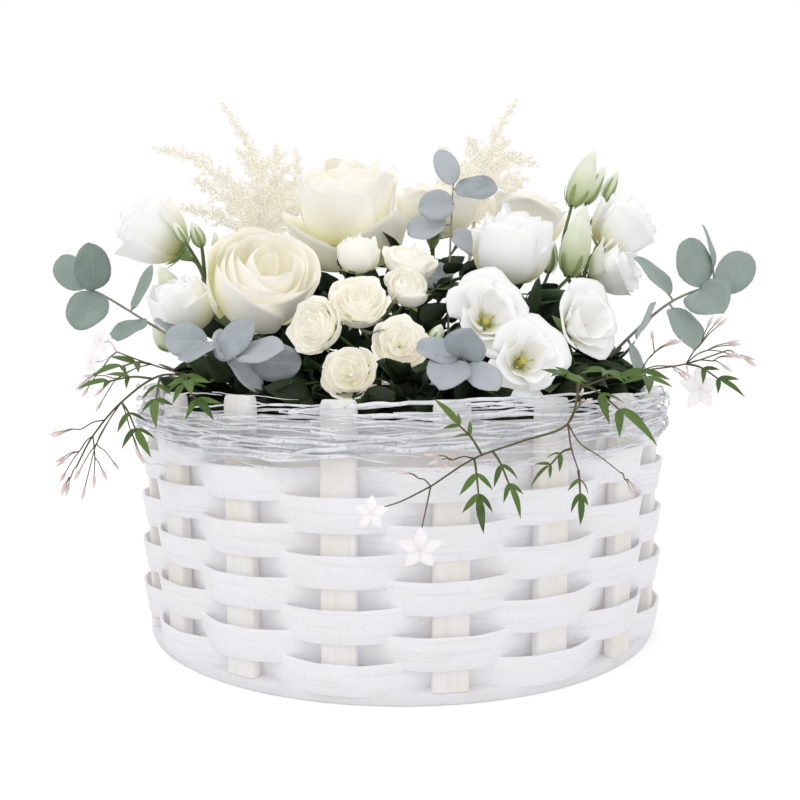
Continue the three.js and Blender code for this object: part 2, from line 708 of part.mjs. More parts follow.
function lisianthusLeftStems() {
  const main = mainStem(V(-84, -12, 84), forkAt(-108, -22), V(-150, -26, 262), 2.6);
  const { lisianthus_1: first, lisianthus_2: second } = LISIANTHUS;
  const stalks = [
    main.stem,
    ...bloomStem(main.at(0.93), first, { sepals: 3, long: 0.6, back: 0.3 }),
    ...bloomStem(main.at(0.3), second, { back: 0.5 }),
    bud(main.at(0.86), V(-157, -50, 286), V(-165, -53, 300), 4.5),
    bud(main.at(0.97), V(-148, -38, 284), V(-155, -40, 302), 5.5),
    bud(main.at(0.78), V(-138, -24, 272), V(-141, -26, 296), 4.5),
    bud(main.at(0.6), V(-164, -50, 246), V(-176, -54, 268), 9),
    bud(main.at(0.2), V(-168, -54, 208), V(-178, -60, 229), 8),
  ];
  const leaves = skirt(main, [
    [-97, 182, 192, 40],
    [-116, 182, 190, 44],
    [-136, 180, 194, 46],
    [-154, 172, 210, 44],
    [-122, 120, 226, 48],
  ]);
  return { hole: main.hole, stalks, leaves };
}

function lisianthusRightStems() {
  const main = mainStem(V(62, -38, 78), forkAt(84, -56), V(136, -26, 254), 3);
  const { lisianthus_3, lisianthus_4, lisianthus_5, lisianthus_6, lisianthus_7, lisianthus_8 } = LISIANTHUS;
  const stalks = [
    main.stem,
    ...bloomStem(main.at(0.34), lisianthus_3),
    ...bloomStem(main.at(0.16), lisianthus_4),
    ...bloomStem(main.at(0.05), lisianthus_5),
    ...bloomStem(main.at(0.25), lisianthus_6),
    ...bloomStem(main.at(0.95), lisianthus_7, { sepals: 3, long: 0.6, back: 0.3 }),
    ...bloomStem(main.at(0.75), lisianthus_8, { back: 0.3 }),
    bud(main.at(0.9), V(128, -22, 316), V(145, -19, 357), 11),
    bud(main.at(0.98), V(148, 24, 324), V(163, 24, 353), 6.5),
    bud(main.at(0.98), V(163, 26, 326), V(174, 27, 350), 5.5),
    bud(main.at(0.7), V(124, -42, 262), V(133, -44, 313), 13),
    bud(main.at(0.55), V(112, -18, 266), V(113, -16, 296), 7),
  ];
  const leaves = skirt(main, [
    [32, 174, 190, 32],
    [50, 178, 190, 34],
    [68, 182, 192, 36],
    [86, 184, 196, 38],
    [105, 182, 202, 42],
    [124, 130, 226, 46],
  ]);
  return { hole: main.hole, stalks, leaves };
}

// ---------------------------------------------------------------- astilbe
// A stalk covered with florets: bunch after bunch swells from it, each smaller than the one below.
function floweringStalk(root, tip, width) {
  const spacing = 2.9 * width;
  const bunches = Math.max(2, Math.round(root.distanceTo(tip) / spacing));
  const path = [root];
  const radii = [0.8];
  for (let i = 0; i < bunches; i += 1) {
    const size = width * (1 - (0.5 * i) / bunches);
    path.push(root.clone().lerp(tip, (i + 0.45) / bunches), root.clone().lerp(tip, (i + 0.98) / bunches));
    radii.push(size, 0.35 * size);
  }
  return limb(path, radii, 3);
}

// A plume: a flowering stalk with side stalks that grow shorter towards the tip.
function plume(base, tip, stalks, spread) {
  const parts = [floweringStalk(base, tip, FLORET_BUNCH)];
  for (let i = 0; i < stalks; i += 1) {
    const share = 0.1 + (0.7 * i) / stalks;
    const angle = i * 2.4;
    const out = V(Math.cos(angle), 0.8 * Math.sin(angle), 0.9).normalize();
    const root = base.clone().lerp(tip, share);
    const end = root.clone().addScaledVector(out, spread * (1 - share) + 9);
    parts.push(floweringStalk(root, end, FLORET_BUNCH));
  }
  return parts;
}

function astilbe(root, fork, base, tip, branches) {
  const main = mainStem(root, fork, base, 2.4);
  const leaves = plume(main.at(0.97), tip, 5, 46);
  for (const [share, end] of branches) {
    leaves.push(floweringStalk(base.clone().lerp(tip, share), end, FLORET_BUNCH));
  }
  return { hole: main.hole, stalks: [main.stem], leaves };
}

function astilbeLeft() {
  return astilbe(V(-52, 44, 84), forkAt(-84, 52), V(-124, 58, 296), V(-150, 60, 414), [
    [0.06, V(-208, 56, 374)],
    [0.12, V(-92, 62, 374)],
    [0.01, V(-184, 40, 320)],
  ]);
}

function astilbeRight() {
  return astilbe(V(36, 70, 84), forkAt(48, 92), V(64, 100, 318), V(101, 98, 424), [
    [0.04, V(34, 98, 384)],
    [0.14, V(116, 94, 360)],
    [0.01, V(58, 128, 376)],
  ]);
}

// ---------------------------------------------------------------- eucalyptus
// A sprig of round leaves: each entry is a leaf's middle, its radius and where it faces.
function sprig(path, leaves, thick) {
  const radii = path.map((_, i) => thick - (0.5 * thick * i) / (path.length - 1));
  const stalk = limb(path, radii, 4);
  const blades = leaves.map(([middle, radius, up]) =>
    roundLeaf(nearestOn(path, middle), middle, radius, up),
  );
  return { stalk, blades };
}

function nearestOn(path, point) {
  const best = V(0, 0, 0);
  const here = V(0, 0, 0);
  let least = Infinity;
  for (let i = 0; i < path.length - 1; i += 1) {
    new THREE.Line3(path[i], path[i + 1]).closestPointToPoint(point, true, here);
    if (here.distanceTo(point) < least) {
      least = here.distanceTo(point);
      best.copy(here);
    }
  }
  return best;
}

const FRONT = V(0, -1, 0.3);
const UPWARDS = V(0, -0.4, 1);
const LEFTWARDS = V(-0.9, -0.5, 0.3);
const RIGHTWARDS = V(0.9, -0.5, 0.3);

function eucalyptus(root, fork, sprigs) {
  const main = mainStem(root, fork, fork.clone().setZ(FORK_HEIGHT + 2), 2.2);
  return {
    hole: main.hole,
    stalks: [main.stem, ...sprigs.map(({ stalk }) => stalk)],
    leaves: sprigs.flatMap(({ blades }) => blades),
  };
}

function eucalyptusLeft() {
  const fork = forkAt(-98, -84);
  const outer = sprig(
    [fork, V(-132, -98, 204), V(-168, -92, 224), V(-206, -84, 246), V(-222, -80, 252)],
    [
      [V(-226, -80, 262), 15, FRONT],
      [V(-210, -96, 262), 14, UPWARDS],
      [V(-216, -90, 234), 14, FRONT],
      [V(-182, -78, 258), 15, LEFTWARDS],
      [V(-184, -98, 222), 14, UPWARDS],
      [V(-154, -114, 220), 14, FRONT],
    ],
    2,
  );
  const inner = sprig(
    [fork, V(-106, -108, 196), V(-112, -136, 206), V(-126, -140, 216)],
    [
      [V(-138, -142, 228), 14, FRONT],
      [V(-104, -142, 224), 15, FRONT],
      [V(-126, -154, 208), 16, UPWARDS],
      [V(-88, -150, 208), 17, LEFTWARDS],
      [V(-82, -132, 200), 14, UPWARDS],
    ],
    1.8,
  );
  return eucalyptus(V(-72, -60, 90), fork, [outer, inner]);
}

function eucalyptusCentre() {
  const fork = forkAt(34, -72);
  const tall = sprig(
    [fork, V(34, -46, 236), V(36, -36, 290), V(38, -32, 330)],
    [
      [V(35, -34, 342), 12, FRONT],
      [V(26, -34, 314), 13, FRONT],
      [V(54, -32, 324), 15, FRONT],
      [V(20, -26, 298), 15, LEFTWARDS],
      [V(48, -30, 288), 13, RIGHTWARDS],
      [V(26, -36, 262), 13, FRONT],
    ],
    2,
  );
  const low = sprig(
    [fork, V(36, -112, 196), V(36, -146, 200), V(36, -158, 206)],
    [
      [V(38, -168, 214), 14, FRONT],
      [V(28, -174, 198), 14, FRONT],
      [V(48, -170, 194), 13, UPWARDS],
      [V(20, -162, 208), 12, LEFTWARDS],
    ],
    1.6,
  );
  return eucalyptus(V(26, -50, 88), fork, [tall, low]);
}

function eucalyptusRight() {
  const fork = forkAt(130, -46);
  const whole = sprig(
    [fork, V(158, -62, 212), V(186, -74, 240), V(212, -76, 252), V(226, -80, 254)],
    [
      [V(180, -62, 266), 18, FRONT],
      [V(172, -86, 226), 17, LEFTWARDS],
      [V(196, -86, 230), 16, UPWARDS],
      [V(204, -72, 270), 15, FRONT],
      [V(214, -90, 246), 15, UPWARDS],
      [V(234, -80, 264), 15, FRONT],
      [V(222, -66, 278), 14, RIGHTWARDS],
      [V(166, -76, 202), 13, RIGHTWARDS],
    ],
    2,
  );
  return eucalyptus(V(98, -34, 90), fork, [whole]);
}

// ---------------------------------------------------------------- jasmine
const JASMINE_FACE = V(0, -0.6, 0.8);

// A feathered leaf in one plate, cut almost to the rib between its leaflets.
function featherLeaf(root, tip, pairs, size) {
  const rib = 0.09;
  const edge = [];
  for (let i = 0; i < pairs; i += 1) {
    edge.push([(i + 0.75) / (pairs + 0.9), 1 - (0.2 * i) / pairs], [(i + 0.9) / (pairs + 0.9), rib]);
  }
  const right = edge.map(([x, y]) => [x, -y]);
  const outline = [[0, 0], ...right, [0.92, -0.3], [1, 0], [0.92, 0.3], ...edge.reverse()];
  const end = tip.clone().add(tip.clone().sub(root).setLength(size));
  return leafOf(outline, root, end, 2 * size, { up: JASMINE_FACE, fold: 0.15, arch: 0.1 });
}

// A white star flower with five petals, on a thread of a stalk that widens into its tube.
function starFlower(from, middle, faces, radius) {
  const frame = frameAt(middle, faces);
  const star = Array.from({ length: 10 }, (_, i) => {
    const angle = (i / 10) * 2 * Math.PI;
    const reach = i % 2 ? 0.3 * radius : radius;
    return [reach * Math.cos(angle), reach * Math.sin(angle)];
  });
  return [
    limb([from, middle.clone().addScaledVector(faces.clone().normalize(), 1.2)], [0.7, 1.1], 3),
    placed(plate(star, (x, y) => V(x, y, 0.02 * (x * x + y * y)), V(0, 0, 1)), frame),
  ];
}

function vine(path, thick) {
  const radii = path.map((_, i) => thick - (0.4 * thick * i) / (path.length - 1));
  return limb(path, radii, 3);
}

function jasmineLeft() {
  const fork = forkAt(-118, -66);
  const main = mainStem(V(-104, -44, 94), fork, V(-134, -112, 190), 1.8);
  const bend = main.at(1);
  const over = V(-152, -144, 194);
  const side = V(-166, -116, 200);
  const trail = [bend, over, V(-174, -154, 178), V(-192, -155, 157), V(-204, -152, 137)];
  const tuft = V(-190, -110, 208);
  return {
    hole: main.hole,
    stalks: [main.stem, vine(trail, 1.5), vine([bend, side, tuft], 1.2)],
    leaves: [
      featherLeaf(over, V(-148, -170, 184), 2, 13),
      featherLeaf(trail[2], V(-162, -170, 160), 2, 12),
      featherLeaf(trail[3], V(-210, -154, 164), 2, 10),
      featherLeaf(side, V(-176, -142, 202), 2, 12),
      featherLeaf(trail[4], V(-210, -152, 122), 2, 9),
      ...starFlower(tuft, V(-199, -116, 216), V(-0.5, -0.8, 0.3), 9),
      ...starFlower(tuft, V(-206, -114, 202), V(-0.6, -0.7, 0.1), 8),
    ],
  };
}

function jasmineRight() {
  const fork = forkAt(98, -96);
  const main = mainStem(V(78, -70, 94), fork, V(110, -136, 184), 1.8);
  const bend = main.at(1);
  const lip = V(104, -182, 192);
  const corner = V(92, -214, 171);
  const drop = [bend, lip, corner, V(66, -220, 162), V(40, -217, 152), V(16, -215, 136)];
  const bottom = drop[5];
  const arch = [bend, V(130, -140, 192), V(150, -146, 197), V(182, -134, 201), V(216, -112, 209)];
  const hang = [corner, V(94, -221, 152), V(100, -219, 132)];
  return {
    hole: main.hole,
    stalks: [
      main.stem,
      vine(drop, 1.5),
      vine(hang, 1.2),
      vine(arch, 1.4),
      vine([bottom, V(0, -216, 128), V(-12, -216, 124)], 1),
      vine([bottom, V(10, -217, 108)], 1),
    ],
    leaves: [
      featherLeaf(drop[3], V(56, -223, 142), 2, 12),
      featherLeaf(drop[4], V(44, -221, 128), 2, 12),
      featherLeaf(hang[2], V(98, -220, 116), 2, 10),
      featherLeaf(arch[2], V(146, -172, 195), 2, 13),
      featherLeaf(arch[1], V(124, -164, 197), 2, 13),
      featherLeaf(arch[3], V(196, -150, 193), 2, 11),
      ...starFlower(V(-12, -216, 124), V(-17, -220, 122), V(-0.2, -1, 0.1), 9),
      ...starFlower(V(10, -217, 108), V(10, -222, 102), V(0.1, -1, -0.2), 12),
      ...starFlower(arch[3], V(196, -130, 189), V(0.4, -0.9, 0.1), 12),
    ],
  };
}

// ---------------------------------------------------------------- the whole
function mesh(name, solid, finish) {
  const item = new THREE.Mesh(geometryOf(solid), new THREE.MeshStandardMaterial(FINISH[finish]));
  item.name = name;
  return item;
}

function basket() {
  const group = new THREE.Group();
  group.add(mesh("base_board", baseBoard(), "stake"));
  for (let i = 0; i < STAKES; i += 1) {
    group.add(mesh(`stake_${String(i + 1).padStart(2, "0")}`, stake(i), "stake"));
  }
  for (let row = 1; row < ROW_EDGES.length; row += 1) {
    group.add(mesh(`weaver_${row}`, splint(row), "splint"));
  }
  group.add(mesh("twig_rim", twigRim(), "twig"));
  group.add(mesh("liner", liner(), "liner"));
  return group;
}

// Two heads of the spray touch, as two lisianthus do on the right, and each pair is one body.
function blooms() {
  const group = new THREE.Group();
  const { spray_rose_5: fifth, spray_rose_7: seventh, ...others } = SPRAY_ROSES;
  const { lisianthus_7: high, lisianthus_8: low, ...bells } = LISIANTHUS;
  for (const [name, bloom] of Object.entries(LARGE_ROSES)) {
    group.add(mesh(`${name}_bloom`, bloomAt(largeRose, bloom), "cream"));
  }
  for (const [name, bloom] of Object.entries(others)) {
    group.add(mesh(name, bloomAt(sprayRose, bloom), "cream"));
  }
  group.add(mesh("spray_rose_5", bloomAt(sprayRose, fifth).add(bloomAt(sprayRose, seventh)), "cream"));
  for (const [name, bloom] of Object.entries(bells)) {
    group.add(mesh(name, bloomAt(lisianthus, bloom), "white"));
  }
  group.add(mesh("lisianthus_7", bloomAt(lisianthus, high).add(bloomAt(lisianthus, low)), "white"));
  return group;
}

const GREENERY = [
  { name: "spray_rose_stems", piece: sprayRoseStems(), finish: "leaf" },
  { name: "lisianthus_right_stems", piece: lisianthusRightStems(), finish: "leaf" },
  { name: "lisianthus_left_stems", piece: lisianthusLeftStems(), finish: "leaf" },
  { name: "rose_left_stem", piece: roseLeftStem(), finish: "leaf" },
  { name: "rose_back_stems", piece: roseBackStems(), finish: "leaf" },
  { name: "astilbe_left", piece: astilbeLeft(), finish: "ivory" },
  { name: "astilbe_right", piece: astilbeRight(), finish: "ivory" },
  { name: "eucalyptus_left", piece: eucalyptusLeft(), finish: "bluegreen" },
  { name: "eucalyptus_centre", piece: eucalyptusCentre(), finish: "bluegreen" },
  { name: "eucalyptus_right", piece: eucalyptusRight(), finish: "bluegreen" },
  { name: "jasmine_left", piece: jasmineLeft(), finish: "vine" },
  { name: "jasmine_right", piece: jasmineRight(), finish: "vine" },
];

// Leaves are cut clear of the blooms' room, of the other pieces' stems and of the leaves before them.
function greenery() {
  const group = new THREE.Group();
  const clearance = 0.5;
  const all = [LARGE_ROSES, SPRAY_ROSES, LISIANTHUS].flatMap((kind) => Object.values(kind));
  const rooms = joined(all.map(roomOf));
  const stems = GREENERY.map(({ piece }) => joined(piece.stalks).subtract(rooms));
  let taken = rooms;
  GREENERY.forEach(({ name, piece, finish }, i) => {
    const others = joined(stems.filter((_, j) => j !== i)).subtract(stems[i]);
    const foliage = joined(piece.leaves).subtract(taken).subtract(grown(others, clearance));
    const whole = largestBody(stems[i].add(foliage));
    group.add(mesh(name, whole, finish));
    taken = taken.add(grown(whole, clearance));
  });
  return group;
}

const arrangement = new THREE.Group();
arrangement.add(...basket().children);
arrangement.add(mesh("floral_foam", floralFoam(GREENERY.map(({ piece }) => piece.hole)), "foam"));
arrangement.add(...blooms().children);
arrangement.add(...greenery().children);

export default arrangement;
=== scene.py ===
"""A round woven basket of whitewashed wood with a twig rim, filled with cut white flowers."""
import logging
import math
from collections.abc import Callable, Sequence
from dataclasses import dataclass, field
from enum import Enum

import bpy
import numpy as np
from mathutils import Matrix, Vector


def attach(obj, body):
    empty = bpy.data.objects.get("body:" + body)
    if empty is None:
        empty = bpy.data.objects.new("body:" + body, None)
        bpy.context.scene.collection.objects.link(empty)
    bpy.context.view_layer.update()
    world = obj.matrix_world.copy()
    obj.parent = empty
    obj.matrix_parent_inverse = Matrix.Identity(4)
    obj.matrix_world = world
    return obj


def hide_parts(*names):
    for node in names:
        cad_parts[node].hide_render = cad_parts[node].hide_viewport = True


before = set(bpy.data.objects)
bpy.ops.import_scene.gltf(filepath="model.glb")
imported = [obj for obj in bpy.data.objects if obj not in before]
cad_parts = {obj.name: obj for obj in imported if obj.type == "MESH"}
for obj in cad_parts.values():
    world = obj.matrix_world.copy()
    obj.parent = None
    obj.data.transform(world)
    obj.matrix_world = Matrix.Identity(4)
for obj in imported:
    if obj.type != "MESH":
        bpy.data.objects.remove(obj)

LOG = logging.getLogger("arrangement")
Array = np.ndarray
Draw = np.random.Generator
Piece = bpy.types.Object
Material = bpy.types.Material
Point = Sequence[float]
Spot = tuple[float, float, float]
Tone = tuple[int, int, int]
Colour = tuple[float, float, float, float]
MM = 0.001
TURN = 2 * math.pi
GOLDEN_TURN = 2.39996
BODY = "root"


# ---------------------------------------------------------------- vectors
def vec(*values: float) -> Array:
    """Return the values as a vector."""
    return np.array(values, float)


RIGHTWARDS, BACKWARDS, UP = np.eye(3)


def unit(vector: Array) -> Array:
    """Return the vector at length one."""
    return vector / (np.linalg.norm(vector) + 1e-12)


def smooth(share: Array | float) -> Array | float:
    """Return a soft step from 0 to 1 over the same range."""
    clipped = np.clip(share, 0, 1)
    return clipped * clipped * (3 - 2 * clipped)


def spoke(angle: float, first: Array = RIGHTWARDS, second: Array = BACKWARDS) -> Array:
    """Return the direction at an angle from the first axis to the second."""
    return math.cos(angle) * first + math.sin(angle) * second


def frame_at(direction: Point, turn: float = 0.0) -> Array:
    """Return the axes, one a row, whose third one looks along a direction.

    Args:
        direction: Where the third axis looks.
        turn: Radians by which the other two are turned about it.
    """
    z = unit(np.array(direction, float))
    x = unit(np.cross(UP, z)) if abs(z[2]) < 0.95 else RIGHTWARDS
    x = unit(x - z * x.dot(z))
    y = np.cross(z, x)
    return np.array([spoke(turn, x, y), y * math.cos(turn) - x * math.sin(turn), z])


def on_wall(degrees: float, radius: float, height: float) -> Array:
    """Return a point round the basket, counted from the front to the right."""
    angle = math.radians(degrees)
    return vec(radius * math.sin(angle), -radius * math.cos(angle), height)


def spline(points: Sequence[Point], count: int) -> Array:
    """Return a smooth path of so many points through the given ones."""
    knots = np.array(points, float)
    padded = np.vstack([2 * knots[0] - knots[1], knots, 2 * knots[-1] - knots[-2]])
    place = np.linspace(0, len(knots) - 1 - 1e-9, count)
    first = place.astype(int)
    t = (place - first)[:, None]
    p0, p1, p2, p3 = (padded[first + k] for k in range(4))
    return 0.5 * (2 * p1 + (p2 - p0) * t + (2 * p0 - 5 * p1 + 4 * p2 - p3) * t ** 2
                  + (3 * p1 - p0 - 3 * p2 + p3) * t ** 3)


# ---------------------------------------------------------------- meshes
def stand(name: str, data: bpy.types.ID) -> Piece:
    """Return a new object that is in the scene."""
    piece = bpy.data.objects.new(name, data)
    bpy.context.scene.collection.objects.link(piece)
    return piece


def note(mesh: bpy.types.Mesh, label: str, values: Array) -> None:
    """Give each point of a mesh a number or a vector."""
    kind, key = ("FLOAT_VECTOR", "vector") if values.ndim > 1 else ("FLOAT", "value")
    mesh.attributes.new(label, kind, "POINT").data.foreach_set(key, values.astype(np.float32).ravel())


class Skin:
    """The surface of a piece in millimetres, gathered sheet by sheet and tube by tube."""

    def __init__(self) -> None:
        """Start with no surface."""
        self.parts: list[tuple[Array, Array, Array, Array]] = []
        self.count = 0

    def add(self, points: Array, quads: Array, marks: Sequence[Array], tint: float, slot: int) -> None:
        """Add points and quads.

        Args:
            points: The points.
            quads: Four indices a row into the points.
            marks: Across, along and side of each point.
            tint: A number that the finish may vary by.
            slot: Which finish they take.
        """
        marks = np.column_stack([*marks, np.full(len(points), tint)])
        self.parts.append((points, quads + self.count, marks, np.full(len(quads), slot)))
        self.count += len(points)

    def sheet(self, grid: Array, thick: float, tint: float = 0.5, slot: int = 0) -> None:
        """Add a thin closed blade.

        Args:
            grid: Rows of points of its middle surface, from its root to its tip.
            thick: Its thickness, which thins towards its edges.
            tint: A number that the finish may vary by.
            slot: Which finish it takes.
        """
        rows, cols = grid.shape[:2]
        normal = np.cross(np.gradient(grid, axis=0), np.gradient(grid, axis=1))
        normal /= np.linalg.norm(normal, axis=2, keepdims=True) + 1e-12
        every = np.ones((rows, cols))
        along = np.linspace(0, 1, rows)[:, None] * every
        edge = np.maximum(np.abs(np.linspace(-1, 1, cols)) * every, along)
        half = ((thick / 2) * (1 - 0.65 * smooth((edge - 0.75) / 0.25))[..., None]) * normal
        points = np.concatenate([(grid + half).reshape(-1, 3), (grid - half).reshape(-1, 3)])
        index = np.arange(rows * cols).reshape(rows, cols)
        a, b, c, d = (part.ravel() for part in (index[:-1, :-1], index[1:, :-1], index[1:, 1:], index[:-1, 1:]))
        ring = np.concatenate([index[0, :-1], index[:-1, -1], index[-1, :0:-1], index[:0:-1, 0]])
        after = np.roll(ring, -1)
        quads = [(a, b, c, d), (a + rows * cols, d + rows * cols, c + rows * cols, b + rows * cols),
                 (ring, after, after + rows * cols, ring + rows * cols)]
        across = np.linspace(0, 1, cols) * every
        marks = (np.tile(across.ravel(), 2), np.tile(along.ravel(), 2), np.repeat([1.0, 0.0], rows * cols))
        self.add(points, np.concatenate([np.stack(part, 1) for part in quads]), marks, tint, slot)

    def rings(self, points: Array, sides: int, tint: float = 0.5, slot: int = 0) -> None:
        """Add rings of points with walls between them and closed ends.

        Args:
            points: The points, ring after ring.
            sides: How many points a ring has; an odd number leaves one triangle open in each end.
            tint: A number that the finish may vary by.
            slot: Which finish they take.
        """
        count = len(points) // sides
        index = np.arange(len(points)).reshape(count, sides)
        after = np.roll(index, -1, axis=1)
        walls = np.stack([index[:-1], after[:-1], after[1:], index[1:]], 2).reshape(-1, 4)
        last = (count - 1) * sides
        low = [[0, k + 2, k + 1, k] for k in range(1, sides - 2, 2)]
        high = [[last, last + k, last + k + 1, last + k + 2] for k in range(1, sides - 2, 2)]
        share = np.repeat(np.linspace(0, 1, count), sides)
        marks = (np.tile(np.arange(sides) / sides, count), share, np.ones(len(share)))
        self.add(points, np.concatenate([walls, low, high]), marks, tint, slot)

    def tube(self, path: Array, radii: Sequence[float] | float, sides: int = 6, tint: float = 0.5,
             slot: int = 0, flutes: float = 0.0) -> None:
        """Add a closed limb.

        Args:
            path: The points of its middle line.
            radii: Its radius at each point, or one radius.
            sides: How many sides it has.
            tint: A number that the finish may vary by.
            slot: Which finish it takes.
            flutes: How deep three twisting folds run along it, as a share of the radius.
        """
        path = np.asarray(path, float)
        radius = np.ones(len(path)) * np.asarray(radii, float)
        along = np.gradient(path, axis=0)
        across = np.cross(UP, along[0])
        if np.linalg.norm(across) < 0.2 * np.linalg.norm(along[0]):
            across = np.cross(RIGHTWARDS, along[0])
        angle = np.arange(sides) / sides * TURN
        rings = []
        for i, point in enumerate(path):
            ahead = unit(along[i])
            across = unit(across - ahead * across.dot(ahead))
            swell = radius[i] * (1 + flutes * np.sin(3 * angle + 4.0 * i / len(path)))
            rings.append(point + np.outer(np.cos(angle) * swell, across)
                         + np.outer(np.sin(angle) * swell, np.cross(ahead, across)))
        self.rings(np.vstack(rings), sides, tint, slot)

    def lathe(self, profile: Sequence[tuple[float, float]], sides: int,
              waves: Callable[[Array], Array] = np.asarray) -> None:
        """Add a closed turned body.

        Args:
            profile: Radius and height from the middle of its underside, round the outside, to that of its top.
            sides: How many sides it has, an even number.
            waves: What moves its points.
        """
        angle = np.arange(sides) / sides * TURN
        ring = np.column_stack([np.cos(angle), np.sin(angle)])
        self.rings(waves(np.vstack([np.column_stack([ring * r, np.full(sides, z)]) for r, z in profile])), sides)

    def build(self, name: str, *looks: "Look") -> Piece:
        """Return the piece, in metres and at the origin, with its looks by slot."""
        points, quads, marks, slots = (np.concatenate(part) for part in zip(*self.parts))
        mesh = bpy.data.meshes.new(name)
        mesh.from_pydata((points * MM).tolist(), [], quads.tolist())
        flat = marks[quads.ravel(), :2].astype(np.float32).ravel()
        mesh.uv_layers.new(name="sheet").data.foreach_set("uv", flat)
        note(mesh, "side", marks[:, 2])
        note(mesh, "tint", marks[:, 3])
        mesh.polygons.foreach_set("material_index", slots.astype(np.int32))
        mesh.polygons.foreach_set("use_smooth", np.ones(len(quads), bool))
        for look in looks:
            mesh.materials.append(look.material())
        mesh.update()
        return stand(name, mesh)


def seat(piece: Piece, slot: str, *nodes: str) -> Piece:
    """Fix a piece to the part and report it.

    Args:
        piece: The piece.
        slot: The finish of the record that it takes; it is not used.
        nodes: The solids that it stands for.

    Returns:
        The piece.
    """
    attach(piece, BODY)
    if nodes:
        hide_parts(*nodes)
    LOG.info("%s: %d faces", piece.name, len(piece.data.polygons))
    return piece


# ---------------------------------------------------------------- node trees
def calculation(operation: str, swapped: bool = False) -> Callable[["Wire", object], "Wire"]:
    """Return a method that calculates with a wire and another value, the other one first if swapped."""
    def method(wire: "Wire", other: object) -> "Wire":
        """Return the result."""
        return wire.graph.math(operation, *((other, wire) if swapped else (wire, other)))
    return method


class Wire:
    """An output in a node tree, which takes part in calculations."""

    def __init__(self, graph: "Graph", socket: bpy.types.NodeSocket) -> None:
        """Keep the output and what builds its tree."""
        self.graph, self.socket = graph, socket

    __add__, __sub__, __mul__ = map(calculation, ("ADD", "SUBTRACT", "MULTIPLY"))
    __truediv__, __pow__ = map(calculation, ("DIVIDE", "POWER"))
    __radd__, __rsub__, __rtruediv__ = (calculation(kind, True) for kind in ("ADD", "SUBTRACT", "DIVIDE"))


class Graph:
    """A node tree, built call by call."""

    prefix = "ShaderNode"

    def __init__(self, tree: bpy.types.NodeTree) -> None:
        """Keep the tree."""
        self.tree = tree

    def plug(self, value: object, socket: bpy.types.NodeSocket) -> None:
        """Lead a wire into a socket, or set the socket to a value."""
        if isinstance(value, Wire):
            self.tree.links.new(value.socket, socket)
        else:
            socket.default_value = value

    def nodes(self, kind: str, inputs: dict[str | int, object] | None = None, **settings: object) -> list[Wire]:
        """Add a node.

        Args:
            kind: Its type, without the prefix of the tree's own types.
            inputs: A wire or a value for each input, by its name or its place.
            settings: Its properties.

        Returns:
            Its outputs.
        """
        node = self.tree.nodes.new(kind if "Node" in kind else self.prefix + kind)
        for label, value in settings.items():
            setattr(node, label, value)
        used = [socket for socket in node.inputs if socket.enabled]
        for label, value in (inputs or {}).items():
            self.plug(value, used[label] if isinstance(label, int) else next(s for s in used if s.name == label))
        return [Wire(self, socket) for socket in node.outputs if socket.enabled]

    def node(self, kind: str, inputs: dict[str | int, object] | None = None, output: int | str = 0,
             **settings: object) -> Wire:
        """Add a node and return one of its outputs, by its place or its name."""
        wires = self.nodes(kind, inputs, **settings)
        return wires[output] if isinstance(output, int) else next(w for w in wires if w.socket.name == output)

    def math(self, operation: str, *values: object) -> Wire:
        """Return a calculation on one or two numbers."""
        return self.node("ShaderNodeMath", dict(enumerate(values)), operation=operation)

    def vector(self, *parts: object) -> Wire:
        """Return a vector of three numbers."""
        return self.node("ShaderNodeCombineXYZ", dict(enumerate(parts)))

    def ramp(self, value: Wire, low: object, high: object) -> Wire:
        """Return a value that climbs softly from 0 at low to 1 at high."""
        return self.node("ShaderNodeMapRange", {"Value": value, "From Min": low, "From Max": high},
                         interpolation_type="SMOOTHSTEP")

    def mix(self, share: object, first: object, second: object) -> Wire:
        """Return a colour between two."""
        return self.node("ShaderNodeMix", {0: share, 1: first, 2: second}, data_type="RGBA")

    def noise(self, vector: Wire, scale: object, detail: float) -> Wire:
        """Return a soft noise between 0 and 1."""
        return self.node("ShaderNodeTexNoise", {"Vector": vector, "Scale": scale, "Detail": detail})


class Group(Graph):
    """A node group with named inputs and outputs."""

    def __init__(self, name: str, kind: str, inputs: dict[str, object], outputs: dict[str, str]) -> None:
        """Make the group.

        Args:
            name: Its name.
            kind: The type of its tree.
            inputs: The default of each input, or its type in words; None is an object.
            outputs: The type of each output.
        """
        super().__init__(bpy.data.node_groups.new(name, kind))
        face = self.tree.interface
        self.identifiers: dict[str, str] = {}
        for label, value in inputs.items():
            plain = {float: "NodeSocketFloat", int: "NodeSocketInt"}.get(type(value), "NodeSocketObject")
            many = {3: "NodeSocketVector", 4: "NodeSocketColor"}[len(value)] if isinstance(value, tuple) else plain
            socket = face.new_socket(label, in_out="INPUT", socket_type=value if isinstance(value, str) else many)
            if isinstance(value, (float, int, tuple)):
                socket.default_value = value
            self.identifiers[label] = socket.identifier
        for label, kind_out in outputs.items():
            face.new_socket(label, in_out="OUTPUT", socket_type=kind_out)
        self.entry = self.tree.nodes.new("NodeGroupInput")
        self.exit = self.tree.nodes.new("NodeGroupOutput")

    def __getitem__(self, label: str) -> Wire:
        """Return a named input."""
        return Wire(self, self.entry.outputs[label])

    def give(self, **results: Wire) -> None:
        """Lead a result to each output."""
        for label, wire in results.items():
            self.plug(wire, self.exit.inputs[label])


